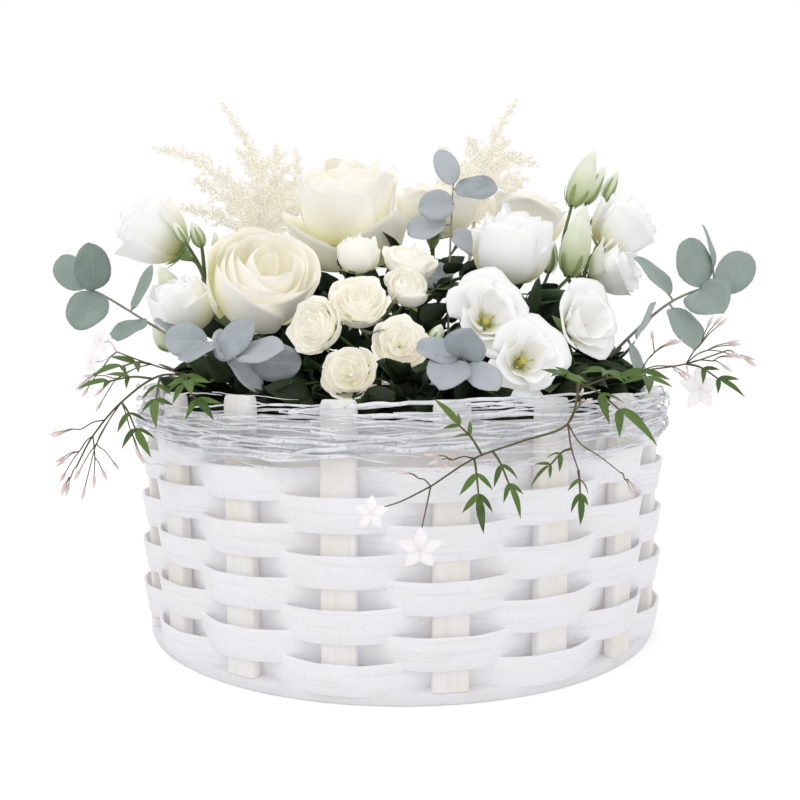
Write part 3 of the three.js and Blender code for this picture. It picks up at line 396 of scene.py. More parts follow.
class Tree(Group):
    """A tree of geometry nodes."""

    prefix = "GeometryNode"

    def __init__(self, name: str, sizes: dict[str, float | int | None]) -> None:
        """Make the tree from its named sizes with their defaults; None stands for an object."""
        shape = {"Geometry": "NodeSocketGeometry"}
        super().__init__(name, "GeometryNodeTree", shape | sizes, shape)

    def drawn(self, low: object, high: object, seed: object, **inputs: object) -> Wire:
        """Return a random number for each element."""
        return self.node("FunctionNodeRandomValue", {"Min": low, "Max": high, "Seed": seed, **inputs})

    def attribute(self, label: str, kind: str = "FLOAT") -> Wire:
        """Return a named attribute."""
        return self.node("InputNamedAttribute", {"Name": label}, data_type=kind)

    def outline(self, wide: Wire, high: Wire, corner: object, steps: int) -> Wire:
        """Return a rectangle with rounded corners."""
        flat = self.node("CurvePrimitiveQuadrilateral", {"Width": wide, "Height": high})
        return self.node("FilletCurve", {"Curve": flat, "Count": steps, "Radius": corner}, mode="POLY")

    def swept(self, curve: Wire, profile: Wire, **inputs: object) -> Wire:
        """Return a closed body along a curve."""
        return self.node("CurveToMesh", {"Curve": curve, "Profile Curve": profile, "Fill Caps": True, **inputs})

    def drift(self, seed: Wire, scale: float, detail: float) -> Wire:
        """Return a noise in three directions that is another one for each seed."""
        return self.node("ShaderNodeTexNoise", {"Vector": self.node("InputPosition"), "W": seed, "Scale": scale,
                                                "Detail": detail}, "Color", noise_dimensions="4D")

    def finish(self, geometry: Wire, look: "Look") -> "Tree":
        """End the tree with real geometry in one finish, and return it."""
        real = self.node("RealizeInstances", {"Geometry": geometry})
        real = self.node("SetShadeSmooth", {"Geometry": real})
        self.give(Geometry=self.node("SetMaterial", {"Geometry": real, "Material": look.material()}))
        return self

    def grow(self, name: str, base: Piece | None = None, **sizes: object) -> Piece:
        """Run the tree and keep its result as a plain mesh.

        Args:
            name: The name of the new piece.
            base: The object that the tree works on, which is used up.
            sizes: Values for named inputs, with _ for a space.

        Returns:
            The piece.
        """
        base = base or stand(name + "_seed", bpy.data.meshes.new(name + "_seed"))
        modifier = base.modifiers.new("tree", "NODES")
        modifier.node_group = self.tree
        for label, value in sizes.items():
            modifier[self.identifiers[label.replace("_", " ")]] = value
        bpy.context.view_layer.update()
        mesh = bpy.data.meshes.new_from_object(base.evaluated_get(bpy.context.evaluated_depsgraph_get()))
        mesh.name = name
        base.modifiers.remove(modifier)
        bpy.data.objects.remove(base)
        return stand(name, mesh)


def scatter_tree(name: str, look: "Look") -> Tree:
    """Return a tree that puts an item on every point, by the point's turn, size and shade."""
    tree = Tree(name, {"Item": None, "Scale": 1.0})
    item = tree.node("ObjectInfo", {"Object": tree["Item"], "As Instance": True}, "Geometry")
    points = tree.node("MeshToPoints", {"Mesh": tree["Geometry"]})
    turn = tree.node("FunctionNodeEulerToRotation", {"Euler": tree.attribute("turn", "FLOAT_VECTOR")})
    size = tree.attribute("size") * tree["Scale"]
    placed = tree.node("InstanceOnPoints", {"Points": points, "Instance": item, "Rotation": turn,
                                            "Scale": tree.vector(size, size, size)})
    kept = tree.node("StoreNamedAttribute", {"Geometry": placed, "Name": "tint", "Value": tree.attribute("shade")},
                     domain="INSTANCE")
    return tree.finish(kept, look)


# ---------------------------------------------------------------- finishes
def tone(screen: Tone) -> Colour:
    """Return a colour from its 0 to 255 values on a screen."""
    shares = (value / 255 for value in screen)
    return (*(s / 12.92 if s <= 0.04045 else ((s + 0.055) / 1.055) ** 2.4 for s in shares), 1.0)


WHITE = (1.0, 1.0, 1.0, 1.0)
BLACK = (0.0, 0.0, 0.0, 1.0)


def speckle_effect() -> Group:
    """Return an effect that drifts a colour by soft patches and fine specks."""
    effect = Group("patches", "ShaderNodeTree", {
        "Place": (0.0, 0.0, 0.0), "Base": WHITE, "Patch": WHITE, "Speck": WHITE, "Patch Size": 40.0,
        "Speck Size": 600.0, "Patch Share": 0.5, "Speck Share": 0.3},
        {"Color": "NodeSocketColor", "Height": "NodeSocketFloat"})
    broad = effect.noise(effect["Place"], effect["Patch Size"], 2.0)
    fine = effect.noise(effect["Place"], effect["Speck Size"], 3.0)
    patch = effect.ramp(broad, 0.42, 0.62) * effect["Patch Share"]
    speck = effect.ramp(fine, 0.56, 0.7) * effect["Speck Share"]
    patched = effect.mix(patch, effect["Base"], effect["Patch"])
    effect.give(Color=effect.mix(speck, patched, effect["Speck"]), Height=fine)
    return effect


def vein_effect() -> Group:
    """Return an effect that draws a rib and side veins on a leaf's own map."""
    effect = Group("veins", "ShaderNodeTree", {"Map": (0.0, 0.0, 0.0), "Pairs": 8.0, "Slant": 0.5, "Width": 0.12},
                   {"Rib": "NodeSocketFloat", "Veins": "NodeSocketFloat"})
    across, along, _ = effect.nodes("SeparateXYZ", {0: effect["Map"]})
    off = effect.math("ABSOLUTE", across - 0.5)
    slanted = (along - off * effect["Slant"]) * effect["Pairs"]
    beat = effect.math("ABSOLUTE", effect.math("SINE", slanted * math.pi))
    effect.give(Rib=1.0 - effect.ramp(off, 0.0, 0.05), Veins=1.0 - effect.ramp(beat / effect["Width"], 0.0, 1.0))
    return effect


PATCHES = speckle_effect()
VEINS = vein_effect()


class Paint(Graph):
    """The node tree of a new material."""

    def __init__(self, finish: "Finish") -> None:
        """Make the material."""
        self.material = bpy.data.materials.new(finish.name)
        self.material.use_nodes = True
        self.roughness = finish.roughness
        super().__init__(self.material.node_tree)
        self.place = self.node("TexCoord", output="Object")

    def mark(self, label: str) -> Wire:
        """Return a number that the mesh holds for each point."""
        return self.node("Attribute", output="Fac", attribute_name=label)

    def patches(self, tones: Sequence[object], sizes: Point, shares: Point) -> list[Wire]:
        """Return the colour and the height of patches and specks.

        Args:
            tones: The colours of the ground, the patches and the specks.
            sizes: The scale of the patches and the specks.
            shares: How much of each shows.
        """
        return self.nodes("Group", dict(enumerate([self.place, *tones, *sizes, *shares])), node_tree=PATCHES.tree)

    def bump(self, height: Wire, strength: float, distance: float, invert: bool = False) -> Wire:
        """Return the normal of a relief."""
        return self.node("Bump", {"Height": height, "Strength": strength, "Distance": distance}, invert=invert)

    def done(self, color: Wire, normal: Wire, **more: object) -> Material:
        """Lead everything into the shader, with _ for a space in the names of more, and return the material."""
        shader = self.tree.nodes["Principled BSDF"]
        values = {"Roughness": self.roughness, "Specular IOR Level": 0.35, "Base Color": color, "Normal": normal}
        for label, value in (values | more).items():
            self.plug(value, shader.inputs[label.replace("_", " ")])
        return self.material


@dataclass(frozen=True)
class Finish:
    """What every finish has: a name and a roughness."""

    name: str
    roughness: float = 0.6


@dataclass(frozen=True)
class Whitewash(Finish):
    """Wood under a thin white wash, with its grain and warm worn places, and a painted glow (emission) that
    lightens its shaded parts.
    """

    base: Tone = (237, 237, 241)
    worn: Tone = (230, 227, 222)
    dirt: Tone = (202, 200, 202)
    wear: float = 0.25
    # Strength of the painted glow: emission in the wash's own colour that lightens its shade.
    painted_glow: float = 0.1
    grain: Spot = (18.0, 18.0, 420.0)

    def make(self) -> Material:
        """Return the material."""
        paint = Paint(self)
        base, worn, dirt = map(tone, (self.base, self.worn, self.dirt))
        streak = paint.noise(paint.node("Mapping", {"Vector": paint.place, "Scale": self.grain}), 1.0, 5.0)
        color, height = paint.patches((base, worn, dirt), (26.0, 340.0), (self.wear, 0.16))
        color = paint.mix(paint.ramp(streak, 0.5, 0.72) * 0.22, color, dirt)
        # The emission is painted light: a glow in the wash's colour that lightens the weave's shaded gaps.
        return paint.done(color, paint.bump(streak + height * 0.5, 0.35, 0.0006), Emission_Color=color,
                          Emission_Strength=self.painted_glow)


@dataclass(frozen=True)
class Petal(Finish):
    """Soft petal flesh, tinted towards its root, with a painted glow (emission) that stands in for light coming
    through from behind.
    """

    body: Tone = (247, 243, 232)
    root: Tone = (228, 225, 172)
    edge: Tone = (250, 248, 241)
    root_reach: float = 0.55
    # Strength of the painted glow, emission in the petal's own colour.
    painted_glow: float = 0.1
    glow: float = 0.12

    def make(self) -> Material:
        """Return the material."""
        paint = Paint(self)
        body, root, edge = map(tone, (self.body, self.root, self.edge))
        sheet = paint.node("UVMap", uv_map="sheet")
        along = paint.nodes("SeparateXYZ", {0: sheet})[1]
        rootward = 1.0 - paint.ramp(along, 0.0, (paint.mark("tint") + 0.5) * self.root_reach)
        color = paint.patches((body, edge, root), (60.0, 900.0), (0.6, 0.12))[0]
        color = paint.mix(rootward, paint.mix(paint.ramp(along, 0.7, 1.0) * 0.8, color, edge), root)
        streak = paint.noise(paint.node("Mapping", {"Vector": sheet, "Scale": (46.0, 2.2, 1.0)}), 1.0, 4.0)
        # The emission is a painted glow that lightens the petals' shade.
        return paint.done(color, paint.bump(streak, 0.22, 0.0004), Emission_Color=color,
                          Emission_Strength=self.painted_glow, Subsurface_Weight=self.glow,
                          Subsurface_Radius=(1.0, 0.97, 0.8), Subsurface_Scale=0.002, Sheen_Weight=0.15)


@dataclass(frozen=True)
class Foliage(Finish):
    """A leaf with its rib and veins, paler below."""

    top: Tone = (60, 84, 44)
    other: Tone = (86, 110, 62)
    under: Tone = (120, 140, 100)
    vein: Tone = (128, 150, 96)
    pairs: float = 8.0
    vein_share: float = 0.5
    bloom: float = 0.0

    def make(self) -> Material:
        """Return the material."""
        paint = Paint(self)
        top, other, under, vein = map(tone, (self.top, self.other, self.under, self.vein))
        sheet = paint.node("UVMap", uv_map="sheet")
        rib, veins = paint.nodes("Group", {"Map": sheet, "Pairs": self.pairs}, node_tree=VEINS.tree)
        ground = paint.mix(paint.mark("tint"), top, other)
        color, height = paint.patches((ground, other, under), (90.0, 1400.0), (0.4, 0.2))
        both = paint.math("MAXIMUM", veins * 0.5, rib)
        color = paint.mix(both * self.vein_share, paint.mix(paint.mark("side"), under, color), vein)
        return paint.done(color, paint.bump(both + height * 0.6, 0.4, 0.0005, True), Subsurface_Weight=0.08,
                          Subsurface_Radius=(0.4, 1.0, 0.3), Subsurface_Scale=0.0015, Sheen_Weight=self.bloom)


@dataclass(frozen=True)
class Plain(Finish):
    """A surface with soft patches, specks and a fine bump, such as bark, stalks, foam or plaster, and an optional
    painted glow (emission).
    """

    base: Tone = (120, 140, 84)
    patch: Tone = (90, 112, 60)
    speck: Tone = (150, 160, 110)
    patch_size: float = 70.0
    speck_size: float = 900.0
    bump: float = 0.3
    depth: float = 0.0004
    # Strength of a painted glow that lightens the surface's shade; none by default.
    painted_glow: float = 0.0

    def make(self) -> Material:
        """Return the material."""
        paint = Paint(self)
        tones = map(tone, (self.base, self.patch, self.speck))
        color, height = paint.patches(tones, (self.patch_size, self.speck_size), (0.9, 0.7))
        # The emission is a painted glow, off unless a strength is given.
        return paint.done(color, paint.bump(height, self.bump, self.depth), Emission_Color=color,
                          Emission_Strength=self.painted_glow)


@dataclass(frozen=True)
class Oversprayed(Finish):
    """A brown bowl whose outer face caught the white paint of the weave, with a painted glow (emission) on that
    face that stands in for the light between its splints.
    """

    bare: Tone = (84, 62, 48)
    paint: Tone = (236, 234, 232)
    shadow: Tone = (216, 211, 206)
    radius: float = 0.177
    # Strength of the painted glow on the outer face.
    painted_glow: float = 0.16

    def make(self) -> Material:
        """Return the material."""
        paint = Paint(self)
        bare, white, shadow = map(tone, (self.bare, self.paint, self.shadow))
        flat = paint.node("VectorMath", {0: paint.place, 1: (1.0, 1.0, 0.0)}, operation="MULTIPLY")
        reach = paint.node("VectorMath", {0: flat}, operation="LENGTH")
        outside = paint.ramp(reach, self.radius, self.radius + 0.0005)
        color, height = paint.patches((white, shadow, bare), (40.0, 500.0), (0.6, 0.1))
        # The outer face glows white: painted light that lightens the gaps between the splints; the inner face has
        # none.
        return paint.done(paint.mix(outside, bare, color), paint.bump(height, 0.4, 0.0004),
                          Emission_Color=paint.mix(outside, BLACK, white), Emission_Strength=self.painted_glow)


class Look(Enum):
    """The finishes of the arrangement."""

    # The whitewashed finishes keep the default painted glow.
    SPLINT = Whitewash("whitewashed_splint", 0.7)
    STAKE = Whitewash("whitewashed_stake", 0.7, (234, 232, 230), (228, 221, 209), wear=0.5,
                      grain=(420.0, 420.0, 14.0))
    BOARD = Whitewash("whitewashed_board", 0.75, (226, 226, 229), (218, 216, 214), wear=0.3,
                      grain=(120.0, 9.0, 120.0))
    # The twigs carry a faint painted glow that lightens their self-shading.
    TWIG = Plain("painted_twig", 0.75, (236, 237, 241), (214, 216, 221), (184, 184, 188), 55.0, 420.0, 0.6,
                 painted_glow=0.05)
    LINER = Oversprayed("oversprayed_liner", 0.85)
    FOAM = Plain("wet_foam", 0.95, (48, 66, 40), (34, 50, 30), (74, 92, 58), speck_size=700.0, bump=0.8,
                 depth=0.002)
    # In the petal finishes the number after the root reach is the strength of the painted glow; the astilbe's is
    # strong, to lighten the shade among its florets.
    CREAM = Petal("cream_petal", 0.5, (243, 239, 228), (228, 227, 162), (248, 245, 237), 0.62, 0.15)
    SPRAY = Petal("ivory_petal", 0.5, (248, 243, 233), (230, 228, 190), (249, 248, 240), 0.44, 0.15)
    WHITE = Petal("white_petal", 0.45, (248, 248, 247), (198, 194, 116), (251, 251, 251), 0.5, 0.11)
    ASTILBE = Petal("astilbe_floret", 0.7, (234, 231, 220), (225, 221, 206), (243, 240, 233), painted_glow=0.28)
    STAR = Petal("jasmine_petal", 0.5, (249, 245, 246), (240, 218, 221), (251, 249, 250), 0.36, 0.1)
    PINK_BUD = Petal("pink_bud", 0.5, (234, 218, 217), (208, 184, 178), (243, 234, 233), 0.7, 0.0)
    BUD = Petal("green_bud", 0.5, (226, 230, 210), (172, 188, 128), (240, 242, 228), 0.6)
    ROSE_LEAF = Foliage("rose_leaf", 0.45, (44, 64, 34), (70, 92, 50), (96, 114, 80), (98, 120, 72))
    # Rose leaves darkened with painted shade, for the loose leaves that lie deep among the stems.
    DEEP_LEAF = Foliage("deep_leaf", 0.5, (22, 34, 18), (38, 54, 28), (52, 66, 42), (60, 76, 44))
    SOFT_LEAF = Foliage("lisianthus_leaf", 0.55, (74, 98, 62), (98, 122, 84), (128, 148, 116), (140, 160, 120),
                        3.0)
    SILVER = Foliage("eucalyptus_silver", 0.6, (154, 162, 167), (192, 197, 203), (182, 190, 194), (206, 212, 212),
                     5.0, 0.2, 0.2)
    GREY_GREEN = Foliage("eucalyptus_green", 0.55, (134, 151, 142), (158, 172, 165), (172, 184, 182),
                         (178, 190, 182), 5.0, 0.2, 0.15)
    VINE_LEAF = Foliage("jasmine_leaf", 0.5, (58, 84, 34), (98, 126, 56), (104, 126, 72), (112, 136, 76), 4.0)
    CUP = Foliage("green_cup", 0.5, (138, 160, 102), (160, 178, 122), (150, 170, 110), (148, 166, 110), 3.0)
    STALK = Plain("green_stalk", 0.55, (100, 122, 72), (76, 96, 54), (130, 146, 98))
    PALE_STALK = Plain("pale_stalk", 0.6, (232, 228, 204), (218, 218, 184), (240, 236, 218))
    WOODY = Plain("eucalyptus_twig", 0.6, (150, 142, 132), (120, 124, 108), (176, 160, 150))
    VINE = Plain("jasmine_vine", 0.6, (88, 94, 56), (104, 78, 60), (134, 124, 90))
    STIGMA = Plain("yellow_stigma", 0.6, (216, 206, 112), (190, 192, 92), (230, 220, 146), 500.0)

    def material(self) -> Material:
        """Return the material, made when it is first asked for."""
        return bpy.data.materials.get(self.value.name) or self.value.make()


# ---------------------------------------------------------------- the basket
BASE_THICK = 8.0
STAKE_COUNT = 18
STAKE_TURN = math.radians(-1.3)
STAKE_FACE = 194.0
ROW_RISE = 0.023
WHOLE_RING = 6.2
HUB = 6.0


@dataclass
class BaseBoard:
    """The flat round bottom board, with softened edges."""

    radius: float = 194.0
    bevel: float = 1.6
    sides: int = 144

    def build(self) -> Piece:
        """Return the board."""
        skin = Skin()
        r, b, t = self.radius, self.bevel, BASE_THICK
        edge = [(r - b, 0.0), (r - 0.3 * b, 0.3 * b), (r, b), (r, t - b), (r - 0.3 * b, t - 0.3 * b), (r - b, t)]
        skin.lathe([(8.0, 0.0), (0.6 * r, 0.0), *edge, (0.6 * r, t), (8.0, t)], self.sides)
        return seat(skin.build("round_base_board", Look.BOARD), "stake", "base_board")


@dataclass
class Stakes:
    """The flat upright stakes round the basket."""

    width: float = 22.5
    thick: float = 8.0
    top: float = 183.0
    corner: float = 2.1

    def tree(self) -> Tree:
        """Return the tree that stands one stake at each place round the base."""
        tree = Tree("stake_ring", {"Count": STAKE_COUNT, "Turn": STAKE_TURN, "Radius": 0.19, "Width": 0.0225,
                                   "Thick": 0.008, "Bottom": 0.0083, "Top": 0.183, "Corner": 0.001})
        line = tree.node("CurvePrimitiveLine", {"Start": tree.vector(0.0, 0.0, tree["Bottom"]),
                                                "End": tree.vector(0.0, 0.0, tree["Top"])})
        line = tree.node("ResampleCurve", {"Curve": line, "Count": 90})
        slim = 1.0 - tree.node("SplineParameter", output="Factor") ** 90.0 * 0.13
        post = tree.swept(line, tree.outline(tree["Width"], tree["Thick"], tree["Corner"], 3), Scale=slim)
        angle = (tree.node("InputIndex") + 0.5) * (TURN / tree["Count"]) + tree["Turn"]
        place = tree.vector(tree.math("SINE", angle) * tree["Radius"],
                            tree.math("COSINE", angle) * -1.0 * tree["Radius"], 0.0)
        points = tree.node("Points", {"Count": tree["Count"], "Position": place})
        turn = tree.node("FunctionNodeEulerToRotation",
                         {"Euler": tree.vector(tree.drawn(-0.004, 0.004, 3), tree.drawn(-0.006, 0.006, 4), angle)})
        return tree.finish(tree.node("InstanceOnPoints", {
            "Points": points, "Instance": post, "Rotation": turn,
            "Scale": tree.vector(tree.drawn(0.96, 1.02, 5), 1.0, tree.drawn(0.985, 1.0, 6))}), Look.STAKE)

    def build(self) -> Piece:
        """Return the ring of stakes."""
        piece = self.tree().grow("upright_stakes", Radius=(STAKE_FACE - self.thick / 2) * MM,
                                 Width=self.width * MM, Thick=self.thick * MM, Top=self.top * MM,
                                 Corner=self.corner * MM)
        return seat(piece, "stake", *(f"stake_{i + 1:02d}" for i in range(STAKE_COUNT)))


@dataclass
class Weave:
    """Nine rows of flat splint that pass before and behind the stakes."""

    edges: tuple[float, ...] = (151.0, 141.0, 124.2, 106.6, 89.4, 73.3, 57.0, 40.2, 23.6, 8.3)
    lap: float = 2.4
    lean: float = math.radians(9)
    thick: float = 2.2
    outside: float = 196.6
    inside: float = 184.0
    open_row: tuple[float, float] = (math.radians(42), math.radians(330))
    stray: Spot = (0.0008, 0.0008, 0.0012)
    flat: float = 0.86
    steps: int = 432

    def tree(self) -> Tree:
        """Return the tree that weaves one splint through the stakes."""
        tree = Tree("woven_splint", {"Start": 0.0, "Sweep": TURN, "Middle": 0.1, "Height": 0.016, "Thick": 0.0024,
                                     "Outside": 0.1978, "Inside": 0.1805, "Phase": 0.0, "Rise": 0.0, "Lean": 0.15,
                                     "Seed": 0.0})
        curve = tree.node("MeshToCurve", {"Mesh": tree.node("MeshLine", {"Count": self.steps})})
        closed = tree.node("FunctionNodeCompare", {"A": tree["Sweep"], "B": WHOLE_RING}, operation="GREATER_THAN")
        curve = tree.node("SetSplineCyclic", {"Geometry": curve, "Cyclic": closed})
        angle = tree["Start"] + tree.node("InputIndex") / float(self.steps) * tree["Sweep"]
        beat = tree.math("COSINE", angle * (STAKE_COUNT / 2) + tree["Phase"])
        swing = tree.node("ShaderNodeMapRange", {"Value": beat, "From Min": -self.flat, "From Max": self.flat})
        radius = tree["Inside"] + swing * (tree["Outside"] - tree["Inside"])
        right, ahead = tree.math("SINE", angle), tree.math("COSINE", angle)
        place = tree.vector(right * radius, ahead * (radius * -1.0), right * tree["Rise"] + tree["Middle"])
        curve = tree.node("SetPosition", {"Geometry": curve, "Position": place})
        drift = tree.node("ShaderNodeVectorMath", {
            0: tree.drift(tree["Seed"], 22.0, 1.0), 1: self.stray, 2: tuple(-0.5 * reach for reach in self.stray)},
            operation="MULTIPLY_ADD")
        curve = tree.node("SetPosition", {"Geometry": curve, "Offset": drift})
        curve = tree.node("SetCurveNormal", {"Curve": curve}, mode="Z_UP")
        curve = tree.node("SetCurveTilt", {"Curve": curve, "Tilt": tree["Lean"]})
        return tree.finish(tree.swept(curve, tree.outline(tree["Thick"], tree["Height"], 0.0008, 2)), Look.SPLINT)

    def build(self) -> list[Piece]:
        """Return the nine rows."""
        tree = self.tree()
        rows = []
        for row, (top, bottom) in enumerate(zip(self.edges, self.edges[1:]), 1):
            start, end = self.open_row if row == 1 else (0.0, TURN)
            middle_stake = STAKE_TURN + (0.5 + row % 2) / STAKE_COUNT * TURN
            middle = (top + bottom) / 2
            lift = ROW_RISE * STAKE_FACE * min(1.0, max(0.0, (middle - BASE_THICK - 1) / 40))
            piece = tree.grow(f"splint_row_{row}", Start=start, Sweep=end - start, Middle=middle * MM,
                              Height=(top - bottom + 2 * self.lap) * MM, Thick=self.thick * MM, Lean=self.lean,
                              Outside=self.outside * MM, Inside=self.inside * MM,
                              Phase=-middle_stake * STAKE_COUNT / 2, Rise=lift * MM, Seed=1.7 * row)
            rows.append(seat(piece, "splint", f"weaver_{row}"))
        return rows


@dataclass(frozen=True)
class Bundle:
    """One bundle of the rim's twigs; lengths are in millimetres and angles in radians."""

    name: str
    count: int
    seed: int
    radius: float
    radius_spread: float
    height_spread: float
    tilt: float
    sweep: float
    wobble: float
    thick: float
    nodes: tuple[str, ...] = ()


@dataclass
class TwigRim:
    """The thin painted twigs wound round the top of the stakes, outside and inside, and the stray ones."""

    middle: float = 162.5
    slope: float = 0.016
    bundles: tuple[Bundle, ...] = (
        Bundle("twig_band", 100, 5, 199.0, 6, 15, 0.14, 1.0, 15, 1.1, ("twig_rim",)),
        Bundle("inner_twigs", 76, 40, 183.2, 3, 14, 0.07, 1.0, 12, 0.9),
        Bundle("stray_twigs", 190, 77, 200.0, 9, 20, 0.18, 0.3, 16, 0.55))

    def tree(self) -> Tree:
        """Return the tree that winds many bent twigs round the rim."""
        tree = Tree("twig_bundle", {"Count": 60, "Seed": 0, "Radius": 0.2, "Radius Spread": 0.003,
                                    "Middle": 0.1685, "Height Spread": 0.02, "Tilt": 0.03, "Sweep": 1.6,
                                    "Wobble": 0.004, "Thick": 0.0014, "Slope": 0.016})
        index = tree.node("InputIndex")

        def drawn(low: float, high: float, offset: float) -> Wire:
            """Return a random number for each twig."""
            return tree.drawn(low, high, tree["Seed"] + offset, ID=index)

        def spread(label: str, offset: float) -> Wire:
            """Return a random number about nought, as wide as a named size."""
            return drawn(-0.5, 0.5, offset) * tree[label]

        points = tree.node("Points", {"Count": tree["Count"], "Position": tree.vector(
            0.0, 0.0, tree["Middle"] + spread("Height Spread", 1.0))})
        ranges = (("own", 0.0, 90.0), ("gauge", 0.45, 1.5), ("tint", 0.0, 1.0))
        for offset, (label, low, high) in enumerate(ranges, 2):
            points = tree.node("StoreNamedAttribute", {"Geometry": points, "Name": label,
                                                       "Value": drawn(low, high, float(offset))})
        arc = tree.node("CurveArc", {"Resolution": 40, "Radius": 1.0, "Sweep Angle": tree["Sweep"]})
        size = tree["Radius"] + spread("Radius Spread", 5.0)
        turn = tree.node("FunctionNodeEulerToRotation", {"Euler": tree.vector(
            spread("Tilt", 6.0), spread("Tilt", 7.0), drawn(0.0, TURN, 8.0))})
        twigs = tree.node("InstanceOnPoints", {"Points": points, "Instance": arc, "Rotation": turn,
                                               "Scale": tree.vector(size, size, 1.0)})
        twigs = tree.node("RealizeInstances", {"Geometry": twigs})
        near, _, high = tree.nodes("ShaderNodeSeparateXYZ", {0: tree.drift(tree.attribute("own"), 20.0, 2.5)})
        x, y, z = tree.nodes("ShaderNodeSeparateXYZ", {0: tree.node("InputPosition")})
        outwards = 1.0 + (near - 0.45) * 0.012
        place = tree.vector(x * outwards, y * outwards, z + (x * tree["Slope"] + (high - 0.5) * tree["Wobble"]))
        twigs = tree.node("SetPosition", {"Geometry": twigs, "Position": place})
        slim = 1.0 - tree.node("SplineParameter", output="Factor") ** 5.0 * 0.75
        thick = slim * tree.attribute("gauge") * tree["Thick"]
        ring = tree.node("CurvePrimitiveCircle", {"Resolution": 6, "Radius": 1.0}, mode="RADIUS")
        return tree.finish(tree.swept(twigs, ring, Scale=thick), Look.TWIG)

    def build(self) -> list[Piece]:
        """Return one piece for each bundle."""
        tree = self.tree()
        grown = [tree.grow(b.name, Slope=self.slope, Middle=self.middle * MM, Count=b.count, Seed=b.seed,
                           Tilt=b.tilt, Sweep=b.sweep, Radius=b.radius * MM, Radius_Spread=b.radius_spread * MM,
                           Height_Spread=b.height_spread * MM, Wobble=b.wobble * MM, Thick=b.thick * MM)
                 for b in self.bundles]
        return [seat(piece, "twig", *bundle.nodes) for piece, bundle in zip(grown, self.bundles)]


@dataclass
class Liner:
    """The thin bowl inside the weave."""

    radius: float = 178.4
    wall: float = 3.0
    floor: float = 4.0
    top: float = 168.0

    def build(self) -> Piece:
        """Return the bowl."""
        skin = Skin()
        low, r, inner = BASE_THICK + 0.3, self.radius, self.radius - self.wall
        lip = [(r, self.top - 1), (r - 0.5, self.top - 0.2), (r - 1.5, self.top), (inner + 0.5, self.top - 0.2),
               (inner, self.top - 1)]
        skin.lathe([(HUB, low), (r, low), *lip, (inner, low + self.floor), (HUB, low + self.floor)], 96)
        return seat(skin.build("inner_liner", Look.LINER), "liner", "liner")


@dataclass
class FoamBlock:
    """The moist foam that holds the stems, with a rough cut top."""

    radius: float = 175.0
    edge: float = 157.0
    crown: float = 120.0
    top: float = 171.0
    crust: float = 150.0
    roughness: float = 1.4

    def roughen(self, points: Array) -> Array:
        """Return the points with the top made uneven."""
        x, y, z = points.T
        bumps = (np.sin(x * 0.21 + 1.3 * np.sin(y * 0.13)) + np.sin(y * 0.19 + 1.1 * np.sin(x * 0.17)) - 1.2) / 2
        return np.column_stack([x, y, z + np.where(z > self.crust, bumps * self.roughness, 0)])

    def build(self) -> Piece:
        """Return the block."""
        skin = Skin()
        low = BASE_THICK + 4.6
        slope = [(self.radius + (self.crown - self.radius) * s, self.edge + (self.top - self.edge) * smooth(s))
                 for s in np.linspace(0.0, 1.0, 10)]
        flat = [(r, self.top) for r in np.linspace(self.crown - HUB, HUB, 20)]
        skin.lathe([(HUB, low), (self.radius, low), *slope, *flat], 120, self.roughen)
        return seat(skin.build("moist_foam", Look.FOAM), "foam", "floral_foam")


# ---------------------------------------------------------------- blooms
@dataclass(frozen=True)
class Bloom:
    """The solid that a bloom stands for, the centre of its open face, where that faces, and its size."""

    node: str
    at: Spot
    faces: Spot
    radius: float
    depth: float
    turn: float = 0.0
    opening: float = 0.5

    @property
    def face(self) -> Array:
        """Return the direction in which it faces."""
        return unit(vec(*self.faces))

    @property
    def foot(self) -> Array:
        """Return where its stem ends."""
        return vec(*self.at) - 0.7 * self.depth * self.face

    def place(self, points: Array) -> Array:
        """Return points of the bloom's own frame where they are in the arrangement."""
        return self.foot + points @ frame_at(self.face, math.radians(self.turn))

    def middle(self) -> Array:
        """Return the middle of the room that it takes."""
        return self.foot + 0.5 * self.depth * self.face


